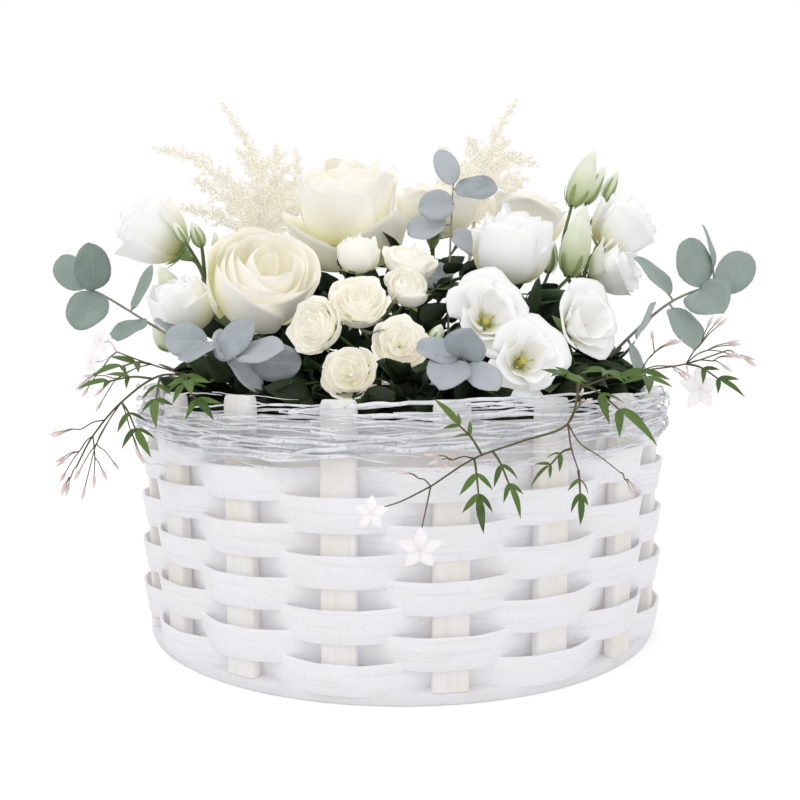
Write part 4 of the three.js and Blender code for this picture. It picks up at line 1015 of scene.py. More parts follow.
@dataclass(frozen=True)
class PetalForm:
    """How the petals of one kind of bloom go from its heart to its outside.

    The two profiles are the control points of a curve of radius and height, as shares of the bloom's own.
    """

    petals: int
    heart: tuple[tuple[float, float], ...]
    outside: tuple[tuple[float, float], ...]
    heart_reach: float
    outside_reach: float
    lip: float
    ruffle: float
    thick: float
    corner: float = 0.16
    point: float = 0.0
    rows: int = 12
    cols: int = 13
    spread: float = 1.0
    guards: int = 0
    guard: tuple[tuple[float, float], ...] = ((0.05, 0.0), (1.0, -0.1), (1.14, 0.42), (1.0, 0.72))

    def petal(self, bloom: Bloom, openness: float, azimuth: float, draw: Draw) -> Array:
        """Return the grid of one petal.

        Args:
            bloom: The bloom that it belongs to.
            openness: From 0 in the heart to 1 outside, and 2 for a loose petal under the others.
            azimuth: Where its middle is, round the bloom's axis.
            draw: The source of its small differences.
        """
        loose, openness = openness > 1, min(openness, 1.0)
        controls = (1 - openness) * np.array(self.heart) + openness * np.array(self.outside)
        controls = np.array(self.guard) if loose else controls
        controls = controls * (1 + draw.normal(0, 0.035, (4, 2)))
        across = np.linspace(-1, 1, self.cols)[None, :]
        rows = np.linspace(0, 1, self.rows)[:, None]
        reach = 1 - self.corner * np.abs(across) ** 2.2 + self.point * np.exp(-(across / 0.22) ** 2)
        t = rows * reach
        (r0, z0), (r1, z1), (r2, z2), (r3, z3) = controls
        k0, k1, k2, k3 = (1 - t) ** 3, 3 * (1 - t) ** 2 * t, 3 * (1 - t) * t * t, t ** 3
        radius = (k0 * r0 + k1 * r1 + k2 * r2 + k3 * r3) * bloom.radius
        height = (k0 * z0 + k1 * z1 + k2 * z2 + k3 * z3) * bloom.depth
        roll = np.clip((t - 0.7) / 0.3, 0, 1.3) ** 2 * self.lip * (0.25 + openness) * (0.75 + 0.6 * across ** 2)
        radius = radius + roll * bloom.radius
        height = height - 0.55 * roll * bloom.radius
        phase = draw.uniform(0, TURN)
        wave = self.ruffle * bloom.radius * t ** 2.2 * (
            np.sin(4.2 * across + phase) + 0.5 * np.sin(8.6 * across + 2 * phase))
        radius = radius * (1 + 0.055 * across) + wave
        height = height + 0.5 * wave
        half = (self.heart_reach + (self.outside_reach - self.heart_reach) * openness ** 0.7)
        half = half * draw.uniform(0.92, 1.08) * (0.62 + 0.38 * smooth(rows / 0.55))
        angle = azimuth + across * half
        return np.stack([radius * np.cos(angle), radius * np.sin(angle), height], 2)

    def fill(self, skin: Skin, bloom: Bloom, draw: Draw, slot: int = 0) -> None:
        """Add all petals of a bloom, from its heart outwards.

        Args:
            skin: What they are added to.
            bloom: Where they sit.
            draw: The source of their small differences.
            slot: Which finish they take.
        """
        for i in range(self.petals + self.guards):
            openness = (i / (self.petals - 1)) ** self.spread if i < self.petals else 2.0
            grid = self.petal(bloom, openness, i * GOLDEN_TURN + draw.normal(0, 0.2), draw)
            skin.sheet(bloom.place(grid.reshape(-1, 3)).reshape(grid.shape), self.thick,
                       float(np.clip(0.15 + 0.7 * openness + draw.normal(0, 0.06), 0, 1.8)), slot)


ROSE = PetalForm(
    petals=17, heart=((0.03, 0.3), (0.2, 0.5), (0.24, 0.9), (0.08, 1.0)),
    outside=((0.05, 0.0), (0.98, -0.08), (1.1, 0.52), (1.0, 0.9)),
    heart_reach=1.7, outside_reach=0.9, lip=0.2, ruffle=0.018, thick=0.45, point=0.07, corner=0.2, spread=0.65)
OPEN_ROSE = PetalForm(
    petals=14, heart=((0.03, 0.4), (0.2, 0.6), (0.25, 0.95), (0.06, 1.03)),
    outside=((0.05, 0.0), (0.98, -0.12), (1.06, 0.55), (0.82, 0.86)),
    heart_reach=1.8, outside_reach=1.04, lip=0.12, ruffle=0.022, thick=0.45, point=0.08, corner=0.2, spread=0.5,
    guards=1, guard=((0.05, 0.0), (0.95, -0.1), (1.02, 0.45), (0.88, 0.7)))
RUFFLED_ROSE = PetalForm(
    petals=17, heart=((0.04, 0.4), (0.25, 0.6), (0.3, 1.05), (0.1, 1.2)),
    outside=((0.05, 0.0), (1.02, -0.1), (1.14, 0.5), (0.9, 0.88)),
    heart_reach=1.6, outside_reach=0.9, lip=0.18, ruffle=0.022, thick=0.45, point=0.1, corner=0.2, spread=0.65,
    guards=4, guard=((0.05, 0.0), (0.85, -0.62), (1.12, -0.1), (1.04, 0.42)))
SPRAY = PetalForm(
    petals=16, heart=((0.04, 0.35), (0.2, 0.5), (0.26, 0.9), (0.1, 1.08)),
    outside=((0.05, 0.0), (1.0, -0.25), (1.18, 0.4), (0.96, 0.8)),
    heart_reach=1.4, outside_reach=0.85, lip=0.16, ruffle=0.05, thick=0.35, rows=10, cols=11, point=0.08,
    spread=0.7, guards=3)
CUPPED_SPRAY = PetalForm(
    petals=16, heart=((0.04, 0.35), (0.2, 0.5), (0.26, 0.9), (0.1, 1.02)),
    outside=((0.05, 0.0), (1.0, -0.18), (1.16, 0.55), (0.7, 0.96)),
    heart_reach=1.4, outside_reach=0.9, lip=0.12, ruffle=0.03, thick=0.35, rows=10, cols=11, spread=0.7, guards=1)
OPEN_BELL = PetalForm(
    petals=9, heart=((0.07, 0.04), (0.34, 0.26), (0.42, 0.72), (0.4, 1.02)),
    outside=((0.08, 0.02), (0.46, 0.2), (0.86, 0.55), (1.1, 0.72)),
    heart_reach=1.25, outside_reach=1.0, lip=0.17, ruffle=0.066, thick=0.35, corner=0.14,
    guard=((0.08, 0.0), (0.5, 0.06), (0.98, 0.48), (1.14, 0.7)))
CLOSED_BELL = PetalForm(
    petals=13, heart=((0.07, 0.04), (0.5, 0.2), (0.5, 0.85), (0.22, 1.04)),
    outside=((0.08, 0.0), (1.05, -0.08), (1.26, 0.55), (0.7, 0.96)),
    heart_reach=1.2, outside_reach=0.85, lip=0.17, ruffle=0.055, thick=0.35, corner=0.16, guards=2,
    guard=((0.08, 0.0), (1.0, -0.05), (1.14, 0.42), (0.82, 0.72)))


def blended(first: PetalForm, second: PetalForm, share: float) -> PetalForm:
    """Return a form between two of the same number of rows and columns."""
    def between(a: object, b: object) -> object:
        """Return what lies between two values."""
        if isinstance(a, tuple):
            return tuple(between(x, y) for x, y in zip(a, b))
        value = a + (b - a) * share
        return round(value) if isinstance(a, int) else value
    return PetalForm(**{name: between(value, getattr(second, name)) for name, value in vars(first).items()})


ROSE_LEFT = Bloom("rose_left_bloom", (-92, -94, 262), (0.37, -0.74, 0.56), 38, 58, 20)
ROSE_TOP = Bloom("rose_top_bloom", (-45, -2, 330), (-0.06, -0.3, 0.95), 40, 58, -15)
ROSE_MIDDLE = Bloom("rose_back_mid_bloom", (28, 62, 332), (0.05, -0.15, 1), 33, 44, 40)
ROSE_RIGHT = Bloom("rose_back_right_bloom", (108, 60, 324), (0.25, -0.1, 0.96), 32, 44, 5)
SPRAY_HEADS = (
    Bloom("spray_rose_1", (-33, -152, 197), (-0.1, -0.95, 0.3), 15.5, 17, 0),
    Bloom("spray_rose_2", (-1, -147, 215), (0.1, -0.9, 0.42), 16, 17, 30),
    Bloom("spray_rose_3", (-57, -137, 226), (-0.5, -0.84, 0.2), 16.5, 17, 60),
    Bloom("spray_rose_4", (-29, -118, 243), (0.05, -0.8, 0.6), 17.5, 18, 15),
    Bloom("spray_rose_5", (5, -95, 253), (0.2, -0.75, 0.63), 15, 16, 45, 0.1),
    Bloom("spray_rose_6", (-31, -75, 280), (-0.05, -0.2, 0.97), 15.5, 24, 10, 0.1),
    Bloom("spray_rose_5", (7, -73, 274), (0.25, -0.35, 0.9), 17.5, 19, 70),
)
BELLS = (
    Bloom("lisianthus_1", (-193, -33, 299), (-0.81, -0.15, 0.56), 27, 48, 0, 0.5),
    Bloom("lisianthus_2", (-155, -84, 246), (-0.25, -0.3, 0.92), 22.5, 38, 30, 0.1),
    Bloom("lisianthus_3", (81, -54, 292), (0.1, -0.25, 0.96), 28, 50, 12, 0.05),
    Bloom("lisianthus_4", (57, -115, 233), (0.05, -0.92, 0.38), 27, 28, 40, 0.9),
    Bloom("lisianthus_5", (77, -152, 205), (0.15, -0.95, 0.25), 24, 26, 8, 1.0),
    Bloom("lisianthus_6", (124, -106, 229), (0.5, -0.8, 0.3), 25, 28, 55, 0.9),
    Bloom("lisianthus_7", (172, -24, 305), (0.68, -0.22, 0.7), 25, 42, 25, 0.45),
    Bloom("lisianthus_7", (163, -37, 269), (0.8, -0.48, 0.37), 23, 34, 50, 0.6),
)
LARGE = (ROSE_LEFT, ROSE_TOP, ROSE_MIDDLE, ROSE_RIGHT)


@dataclass
class LargeRoses:
    """The four large garden roses."""

    forms: tuple[PetalForm, ...] = (OPEN_ROSE, RUFFLED_ROSE, ROSE, ROSE)
    seed: int = 3

    def build(self) -> list[Piece]:
        """Return one piece for each rose."""
        pieces = []
        for i, (bloom, form) in enumerate(zip(LARGE, self.forms)):
            skin = Skin()
            form.fill(skin, bloom, np.random.default_rng(self.seed + i))
            piece = skin.build(bloom.node.replace("_bloom", "_petals"), Look.CREAM)
            pieces.append(seat(piece, "cream", bloom.node))
        return pieces


NEARLY_CLOSED = 0.3


@dataclass
class SprayRoses:
    """The small roses of the spray."""

    seed: int = 20

    def build(self) -> list[Piece]:
        """Return one piece for each head."""
        pieces = []
        for i, bloom in enumerate(SPRAY_HEADS):
            skin = Skin()
            form = CUPPED_SPRAY if bloom.opening < NEARLY_CLOSED else SPRAY
            form.fill(skin, bloom, np.random.default_rng(self.seed + i))
            pieces.append(seat(skin.build(f"spray_head_{i + 1}", Look.SPRAY), "cream", bloom.node))
        return pieces


WIDE_OPEN = 0.95
PISTIL_SLOT = 2


@dataclass
class Lisianthus:
    """The bell-shaped blooms, from closed to open, with a pistil in the green throat."""

    seed: int = 50
    stamens: int = 5

    def throat(self, skin: Skin, bloom: Bloom, draw: Draw) -> None:
        """Add the pistil and the stamens, which stand lower in a bloom that isn't wide open."""
        deep = bloom.depth * (1.0 if bloom.opening > WIDE_OPEN else 0.6)
        pistil = np.array([[0, 0, 0.08 * deep], [0.3, 0.2, 0.24 * deep], [0, 0, 0.44 * deep], [0, 0, 0.5 * deep]])
        skin.tube(bloom.place(pistil), (2.6, 1.7, 1.1, 1.0), 8, slot=PISTIL_SLOT)
        head = np.array([[0, 0, 0.46 * deep], [0, 0, 0.5 * deep], [0, 0, 0.55 * deep], [0, 0, 0.58 * deep]])
        skin.tube(bloom.place(head), (0.8, 2.6, 2.2, 0.6), 10, slot=PISTIL_SLOT)
        for k in range(self.stamens):
            angle = k / self.stamens * TURN + draw.normal(0, 0.15)
            out = spoke(angle)
            stalk = np.array([out * 1.6 + vec(0, 0, 0.1 * deep), out * 4 + vec(0, 0, 0.3 * deep),
                              out * 5.6 + vec(0, 0, 0.42 * deep)])
            skin.tube(bloom.place(stalk), 0.3, 4, slot=PISTIL_SLOT)
            anther = np.array([stalk[-1] - out * 0.6, stalk[-1] + out * 0.4 + vec(0, 0, 1.2),
                               stalk[-1] + out * 0.9 + vec(0, 0, 2.6)])
            skin.tube(bloom.place(anther), (0.4, 0.75, 0.3), 6, slot=PISTIL_SLOT)

    def build(self) -> list[Piece]:
        """Return one piece for each bloom."""
        pieces = []
        for i, bloom in enumerate(BELLS):
            skin = Skin()
            draw = np.random.default_rng(self.seed + i)
            blended(CLOSED_BELL, OPEN_BELL, bloom.opening).fill(skin, bloom, draw)
            self.throat(skin, bloom, draw)
            piece = skin.build(f"lisianthus_petals_{i + 1}", Look.WHITE, Look.STALK, Look.STIGMA)
            pieces.append(seat(piece, "white", bloom.node))
        return pieces


# ---------------------------------------------------------------- leaves and stems
@dataclass(frozen=True)
class LeafForm:
    """The outline of a leaf: how fast it widens from its base and narrows to its tip."""

    base: float
    tip: float
    teeth: float = 0.0
    rows: int = 11
    cols: int = 5

    def blade(self, root: Array, tip: Array, width: float, up: Array, fold: float = 0.2, arch: float = 0.1,
              wave: float = 0.0) -> Array:
        """Return the grid of a leaf.

        Args:
            root: Where it starts.
            tip: Where its straight line would end.
            width: Its full width.
            up: Roughly where its upper face looks.
            fold: How far its halves rise from the rib, as a share of their width.
            arch: How far its tip bends back, as a share of its length.
            wave: How far its edges wave, as a share of its width.
        """
        along = tip - root
        side = unit(np.cross(up, along))
        face = unit(np.cross(along, side))
        step = np.linspace(0, 1, self.rows)
        t = (1 - np.cos(math.pi * step)) / 2
        half = t ** self.base * (1 - t) ** self.tip
        half = np.maximum(half / half.max(), 0.04)
        half[1:-1:2] *= 1 - self.teeth
        u = np.linspace(-1, 1, self.cols)[None, :]
        out = (half * width / 2)[:, None]
        t = t[:, None]
        lift = (fold * np.abs(u) * out - arch * np.linalg.norm(along) * t * t
                + wave * width * np.sin(9 * t + 1.5 * u) * np.abs(u))
        return root + t[..., None] * along + (u * out)[..., None] * side + lift[..., None] * face


class Outline(Enum):
    """The kinds of leaf."""

    ROUND = LeafForm(0.5, 0.5, rows=11, cols=7)
    ROSE = LeafForm(0.55, 0.85, teeth=0.07, rows=19, cols=7)
    LANCE = LeafForm(0.6, 1.0, rows=13, cols=7)
    SLIM = LeafForm(0.6, 1.1, rows=9, cols=5)
    SEPAL = LeafForm(0.35, 1.1, rows=8, cols=5)
    SMALL_ROSE = LeafForm(0.55, 0.85, teeth=0.07, rows=13, cols=3)

    def blade(self, *args: object, **kwargs: object) -> Array:
        """Return the grid of a leaf of this kind."""
        return self.value.blade(*args, **kwargs)


LEAF_SLOT, STALK_SLOT, CUP_SLOT, BUD_SLOT = range(4)


def rose_leaf(skin: Skin, root: Array, tip: Array, width: float, draw: Draw) -> None:
    """Add a compound leaf: two pairs of toothed leaflets and one at the end of the rib.

    Args:
        skin: What it is added to.
        root: Where its rib starts.
        tip: The tip of its last leaflet.
        width: From one side's leaflets to the other's.
        draw: The source of small differences.
    """
    along = tip - root
    long = np.linalg.norm(along)
    side = unit(np.cross(UP, along))
    face = unit(np.cross(along, side))
    bow = 0.06 * long
    rib = spline([root, root + 0.35 * along + bow * face, root + 0.68 * along + 0.6 * bow * face], 9)
    skin.tube(rib, np.linspace(1.2, 0.7, 9), 6, slot=STALK_SLOT)
    for share, size in ((0.4, 0.9), (0.64, 1.0)):
        for hand in (-1, 1):
            start = rib[int(round(share / 0.68 * 8))]
            ahead = unit(along) * draw.uniform(0.35, 0.6)
            aim = unit(side * hand + ahead + face * draw.uniform(-0.25, 0.2))
            length = 0.52 * width * size * draw.uniform(0.9, 1.08)
            stub = start + aim * 2.5
            skin.tube(np.array([start, stub]), 0.6, 4, slot=STALK_SLOT)
            grid = Outline.ROSE.blade(stub, stub + aim * length, 0.62 * length, face + side * draw.normal(0, 0.2),
                                      fold=draw.uniform(0.1, 0.3), arch=draw.uniform(0.08, 0.25), wave=0.02)
            skin.sheet(grid, 0.45, draw.uniform(0, 1), LEAF_SLOT)
    end = rib[-1]
    length = np.linalg.norm(tip - end)
    grid = Outline.ROSE.blade(end, tip + 0.04 * along, 0.66 * length + 4, face, fold=0.2, arch=0.12, wave=0.02)
    skin.sheet(grid, 0.45, draw.uniform(0, 1), LEAF_SLOT)


@dataclass(frozen=True)
class Stem:
    """A main stem: from its cut end in the foam, past the fork, to its crown."""

    root: Spot
    fork: Spot
    crown: Spot
    thick: float

    def at(self, share: float) -> Array:
        """Return a point between the fork and the crown."""
        return vec(*self.fork) * (1 - share) + vec(*self.crown) * share

    def add(self, skin: Skin) -> None:
        """Add the stem to a skin."""
        halfway = 0.5 * (vec(*self.root) + vec(*self.fork))
        path = [self.root, halfway, self.fork, self.at(0.5), self.crown]
        skin.tube(spline(path, 17), np.linspace(self.thick, 0.8 * self.thick, 17), 8, slot=STALK_SLOT)


def bloom_stalk(skin: Skin, start: Array, bloom: Bloom, thick: float, sepal: float, back: float) -> None:
    """Add the stalk of a bloom, its green cup and its five sepals.

    Args:
        skin: What they are added to.
        start: Where the stalk leaves the stem.
        bloom: The bloom.
        thick: The stalk's radius.
        sepal: The length of a sepal.
        back: How far behind the bloom the stalk is in line with it, as a share of its depth.
    """
    foot = bloom.foot
    neck = foot - back * bloom.depth * bloom.face
    path = spline([start, neck, foot - 0.25 * back * bloom.depth * bloom.face, foot], 15)
    skin.tube(path, np.linspace(thick, 0.85 * thick, 15), 8, slot=STALK_SLOT)
    wide = 0.13 * bloom.radius + 1.2
    base = np.outer((-2.1, -1.5, -0.8, 0.1, 0.7), wide * UP)
    skin.tube(bloom.place(base), (0.7 * thick, 0.6 * wide, 1.0 * wide, 1.15 * wide, 0.9 * wide), 10, slot=CUP_SLOT)
    for k in range(5):
        angle = k / 5 * TURN + 0.4
        out = spoke(angle)
        root = out * 0.8 * wide - 0.4 * wide * UP
        tip = out * (wide + 0.9 * sepal) + 0.1 * sepal * UP
        grid = Outline.SEPAL.blade(root, tip, 0.36 * sepal + 1.5, UP, fold=0.15, arch=-0.12)
        skin.sheet(bloom.place(grid.reshape(-1, 3)).reshape(grid.shape), 0.5, 0.4 + 0.1 * k, CUP_SLOT)


LARGE_BUD = 8.0


def twisted_bud(skin: Skin, start: Array, foot: Array, tip: Array, radius: float, bow: float) -> None:
    """Add a closed bud of twisted petals on a thin stalk, with narrow sepals.

    Args:
        skin: What it is added to.
        start: Where the stalk leaves the stem.
        foot: The foot of the bud.
        tip: The tip of the bud.
        radius: The bud's largest radius.
        bow: How far the stalk bows out to the left.
    """
    along = tip - foot
    halfway = 0.55 * start + 0.45 * foot + vec(-bow, 0, 3)
    skin.tube(spline([start, halfway, foot], 11), np.linspace(1.6, 1.2, 11), 6, slot=STALK_SLOT)
    share = np.array([0.0, 0.08, 0.2, 0.36, 0.54, 0.7, 0.84, 0.94, 1.0])
    swell = np.array([0.3, 0.62, 0.82, 0.88, 0.78, 0.6, 0.4, 0.22, 0.06])
    skin.tube(foot + share[:, None] * along, swell * radius, 12, tint=0.7, slot=BUD_SLOT, flutes=0.1)
    axes = frame_at(along)
    rise = np.linspace(-0.02, 0.3 if radius > LARGE_BUD else 0.75, 8)
    reach = np.interp(rise, share, swell) * radius + 0.5
    for k in range(5):
        around = k / 5 * TURN + np.outer(np.sqrt(np.linspace(1, 0.02, 8)) * 0.3, np.linspace(-1, 1, 3))
        out = np.cos(around)[..., None] * axes[0] + np.sin(around)[..., None] * axes[1]
        grid = foot + rise[:, None, None] * along + out * reach[:, None, None]
        skin.sheet(grid, 0.4, 0.1 + 0.1 * k, CUP_SLOT)


Skirt = tuple[tuple[float, float, float, float], ...]


@dataclass
class FlowerStems:
    """The branched stems of one kind of flower, with its leaves and buds."""

    name: str
    node: str
    stem: Stem
    heads: tuple[tuple[Bloom, float, float, float], ...]
    leaves: Skirt
    compound: bool
    buds: tuple[tuple[float, tuple, tuple, float], ...] = ()
    sepal: float = 0.6
    bow: float = 0.0
    seed: int = 7

    def build(self) -> Piece:
        """Return the stems in one piece."""
        skin = Skin()
        draw = np.random.default_rng(self.seed)
        self.stem.add(skin)
        for bloom, share, thick, back in self.heads:
            bloom_stalk(skin, self.stem.at(share), bloom, thick, self.sepal * bloom.radius, back)
        for share, foot, tip, radius in self.buds:
            twisted_bud(skin, self.stem.at(share), vec(*foot), vec(*tip), radius, bow=self.bow)
        for i, (degrees, reach, height, width) in enumerate(self.leaves):
            root = self.stem.at((i + 0.6) / (len(self.leaves) + 1))
            tip = on_wall(degrees, reach, height)
            if self.compound:
                rose_leaf(skin, root, tip, width, draw)
                continue
            start = root + 0.3 * (tip - root)
            skin.tube(np.array([root, start]), 1.0, 6, slot=STALK_SLOT)
            skin.sheet(Outline.LANCE.blade(start, tip, width, UP, fold=0.2, arch=0.1, wave=0.02), 0.6,
                       draw.uniform(0, 1), LEAF_SLOT)
        green = Look.ROSE_LEAF if self.compound else Look.SOFT_LEAF
        return seat(skin.build(self.name, green, Look.STALK, Look.CUP, Look.BUD), "leaf", self.node)


ROSE_LEFT_STEM = FlowerStems(
    "left_rose_stem", "rose_left_stem", Stem((-46, -34, 82), (-62, -52, 176), (-70, -54, 206), 2.8),
    ((ROSE_LEFT, 0.9, 2.4, 0.6),), ((-46, 172, 192, 62), (-74, 174, 196, 66)), True, sepal=0.7)
ROSE_BACK_STEMS = FlowerStems(
    "back_rose_stems", "rose_back_stems", Stem((4, 30, 70), (12, 44, 176), (14, 50, 240), 3.4),
    ((ROSE_TOP, 0.75, 2.4, 0.8), (ROSE_MIDDLE, 0.95, 2.4, 0.8), (ROSE_RIGHT, 0.85, 2.4, 0.8)),
    ((112, 174, 194, 78), (222, 176, 196, 80), (142, 178, 202, 82), (198, 178, 200, 82), (170, 176, 212, 82),
     (100, 150, 214, 66), (232, 136, 230, 66), (128, 136, 256, 66), (206, 136, 260, 66), (166, 132, 276, 66),
     (186, 150, 240, 66)), True, sepal=0.7, seed=8)
SPRAY_STEMS = FlowerStems(
    "spray_stems", "spray_rose_stems", Stem((-8, -52, 78), (-16, -84, 176), (-18, -78, 236), 2.6),
    tuple((bloom, share, 1.2, 0.7) for bloom, share in
          zip(SPRAY_HEADS, (0.06, 0.2, 0.34, 0.5, 0.66, 0.97, 0.82))),
    ((-36, 174, 181, 50), (-7, 170, 175, 40), (20, 174, 186, 46), (-24, 72, 254, 30), (34, 84, 262, 44)), True,
    ((0.28, (20, -128, 214), (25, -136, 226), 5.5),), sepal=1.1, seed=9)
LISIANTHUS_LEFT = FlowerStems(
    "left_lisianthus_stems", "lisianthus_left_stems",
    Stem((-84, -12, 84), (-108, -22, 176), (-150, -26, 262), 2.6),
    ((BELLS[0], 0.93, 1.7, 0.3), (BELLS[1], 0.3, 1.7, 0.5)),
    ((-97, 182, 192, 40), (-116, 182, 190, 44), (-136, 180, 194, 46), (-154, 172, 210, 44), (-122, 120, 226, 48),
     (-60, 150, 232, 40), (-50, 138, 222, 40)),
    False,
    ((0.86, (-157, -50, 286), (-165, -53, 300), 4.5), (0.97, (-148, -38, 284), (-155, -40, 302), 5.5),
     (0.78, (-138, -24, 272), (-141, -26, 296), 4.5), (0.6, (-164, -50, 246), (-176, -54, 268), 9),
     (0.2, (-168, -54, 208), (-178, -60, 231), 9)), seed=10)
LISIANTHUS_RIGHT = FlowerStems(
    "right_lisianthus_stems", "lisianthus_right_stems", Stem((62, -38, 78), (84, -56, 176), (136, -26, 254), 3),
    ((BELLS[2], 0.34, 1.7, 0.8), (BELLS[3], 0.16, 1.7, 0.8), (BELLS[4], 0.05, 1.7, 0.8),
     (BELLS[5], 0.25, 1.7, 0.8), (BELLS[6], 0.95, 1.7, 0.3), (BELLS[7], 0.75, 1.7, 0.3)),
    ((32, 174, 190, 32), (50, 178, 190, 34), (68, 182, 192, 36), (86, 184, 196, 38), (105, 182, 202, 42),
     (124, 130, 226, 46), (57, 116, 254, 38), (44, 108, 240, 36)), False,
    ((0.9, (128, -22, 316), (145, -19, 357), 11), (0.98, (148, 24, 324), (163, 24, 353), 6.5),
     (0.98, (163, 26, 326), (174, 27, 350), 5.5), (0.7, (124, -42, 262), (133, -44, 313), 13),
     (0.55, (112, -18, 266), (113, -16, 296), 7)), bow=9, seed=11)


# ---------------------------------------------------------------- scattered small things
def turns_of(directions: Array, spins: Array) -> Array:
    """Return the Euler angles that turn an item's Z axis to each direction, spun about it."""
    angles = []
    for direction, spin in zip(directions, spins):
        turned = Vector(direction).to_track_quat("Z", "Y").to_matrix()
        x, z = turned @ Vector(spoke(spin)), turned @ Vector(UP)
        angles.append(tuple(Matrix((x, z.cross(x), z)).transposed().to_euler()))
    return np.array(angles)


def template(skin: Skin, name: str) -> Piece:
    """Return an item for a scatter tree, one millimetre a unit."""
    item = skin.build(name)
    item.data.attributes.remove(item.data.attributes["tint"])
    return item


@dataclass
class Scatter:
    """Small items gathered for one piece, each with a place, a direction, a size and a tint."""

    places: list[Array] = field(default_factory=list)
    directions: list[Array] = field(default_factory=list)
    sizes: list[float] = field(default_factory=list)
    tints: list[float] = field(default_factory=list)

    def add(self, place: Array, direction: Array, size: float, tint: float) -> None:
        """Add one item."""
        self.places.append(place)
        self.directions.append(unit(direction))
        self.sizes.append(size)
        self.tints.append(tint)

    def grow(self, name: str, item: Piece, look: Look, seed: int) -> Piece:
        """Return the piece, and use up the item."""
        spins = np.random.default_rng(seed).uniform(0, TURN, len(self.places))
        mesh = bpy.data.meshes.new(name + "_points")
        mesh.from_pydata((np.array(self.places) * MM).tolist(), [], [])
        note(mesh, "turn", turns_of(np.array(self.directions), spins))
        note(mesh, "size", np.array(self.sizes))
        note(mesh, "shade", np.array(self.tints))
        piece = scatter_tree(name + "_scatter", look).grow(name, stand(name + "_points", mesh), Item=item)
        bpy.data.objects.remove(item)
        return piece


def joined(name: str, *pieces: Piece) -> Piece:
    """Return several pieces as one."""
    for piece in bpy.context.selected_objects:
        piece.select_set(False)
    for piece in pieces:
        piece.select_set(True)
    bpy.context.view_layer.objects.active = pieces[0]
    bpy.ops.object.join()
    pieces[0].name = name
    return pieces[0]


@dataclass(frozen=True)
class Stalk:
    """A thin bowed stalk that florets cover."""

    start: Array
    end: Array
    bow: Array
    thick: float

    @property
    def long(self) -> float:
        """Return the distance between its ends."""
        return float(np.linalg.norm(self.end - self.start))

    def at(self, share: float) -> Array:
        """Return a point on it."""
        return self.start + share * (self.end - self.start) + self.bow * math.sin(math.pi * share)

    def ahead(self, share: float) -> Array:
        """Return the direction in which it runs at a point."""
        return unit(self.end - self.start + math.pi * math.cos(math.pi * share) * self.bow)

    def cover(self, scatter: Scatter, florets: float, draw: Draw) -> None:
        """Cover it with so many florets a millimetre, thinner towards its end."""
        for _ in range(int(self.long * florets)):
            share = draw.uniform(0.02, 1.0)
            side, other, ahead = frame_at(self.ahead(share))
            reach = self.thick * (1 - 0.6 * share ** 2) * math.sqrt(draw.uniform(0.05, 1))
            angle = draw.uniform(0, TURN)
            out = spoke(angle, side, other)
            scatter.add(self.at(share) + out * reach, out + 0.8 * ahead + draw.normal(0, 0.3, 3),
                        draw.uniform(1.7, 2.9) * (1 - 0.35 * share), draw.uniform(0, 1))


@dataclass
class Astilbe:
    """A feathery plume: a stalk with side stalks, all covered with tiny florets."""

    name: str
    node: str
    stem: Stem
    tip: Spot
    bow: Spot
    branches: tuple[tuple[float, Spot, Spot], ...]
    sides: int = 9
    limb: float = 2.6
    twig: float = 2.1
    gap: float = 3.4
    fluff: float = 19.0
    florets: float = 1.1
    seed: int = 30

    def floret(self) -> Piece:
        """Return one floret: three tiny petals that open upwards."""
        skin = Skin()
        for k in range(3):
            angle = k / 3 * TURN
            out = spoke(angle)
            side = spoke(angle, BACKWARDS, -RIGHTWARDS)
            grid = np.array([[out * r + UP * z - side * w, out * r + UP * z + side * w]
                             for r, z, w in ((0.05, 0.0, 0.2), (0.9, 0.6, 0.42))])
            skin.sheet(grid, 0.12)
        return template(skin, self.name + "_floret")

    def build(self) -> Piece:
        """Return the plume in one piece."""
        draw = np.random.default_rng(self.seed)
        skin = Skin()
        scatter = Scatter()
        self.stem.add(skin)
        base, tip = self.stem.at(0.97), vec(*self.tip)
        crown = Stalk(base, tip, vec(*self.bow), self.limb)
        limbs = [crown]
        for i in range(self.sides):
            share = 0.02 + 0.5 * i / self.sides
            out = unit(vec(math.cos(i * 2.4), 0.8 * math.sin(i * 2.4), 0.8))
            long = 54 * (1 - share) + 4
            root = crown.at(share)
            limbs.append(Stalk(root, root + out * long, UP * 0.08 * long, self.limb))
        limbs.extend(Stalk(crown.at(share), vec(*end), vec(*bow), self.limb) for share, end, bow in self.branches)
        stalks = list(limbs)
        for limb in limbs:
            count = int(limb.long / self.gap)
            for k in range(count):
                share = 0.04 + 0.92 * k / count
                side, other, ahead = frame_at(limb.ahead(share))
                out = spoke(k * GOLDEN_TURN, side, other)
                long = 3.0 + self.fluff * (1 - share) ** 1.1 * min(1.0, limb.long / 60)
                root = limb.at(share)
                stalks.append(Stalk(root, root + unit(out + 0.8 * ahead) * long, UP * 0.05 * long, self.twig))
        for stalk in stalks:
            skin.tube(np.array([stalk.at(share) for share in np.linspace(0, 1, 6)]),
                      np.linspace(0.35 * stalk.thick, 0.25, 6), 4)
            stalk.cover(scatter, self.florets, draw)
        fluff = scatter.grow(self.name + "_fluff", self.floret(), Look.ASTILBE, self.seed)
        stalk = skin.build(self.name, Look.ASTILBE, Look.PALE_STALK)
        return seat(joined(self.name, stalk, fluff), "ivory", self.node)


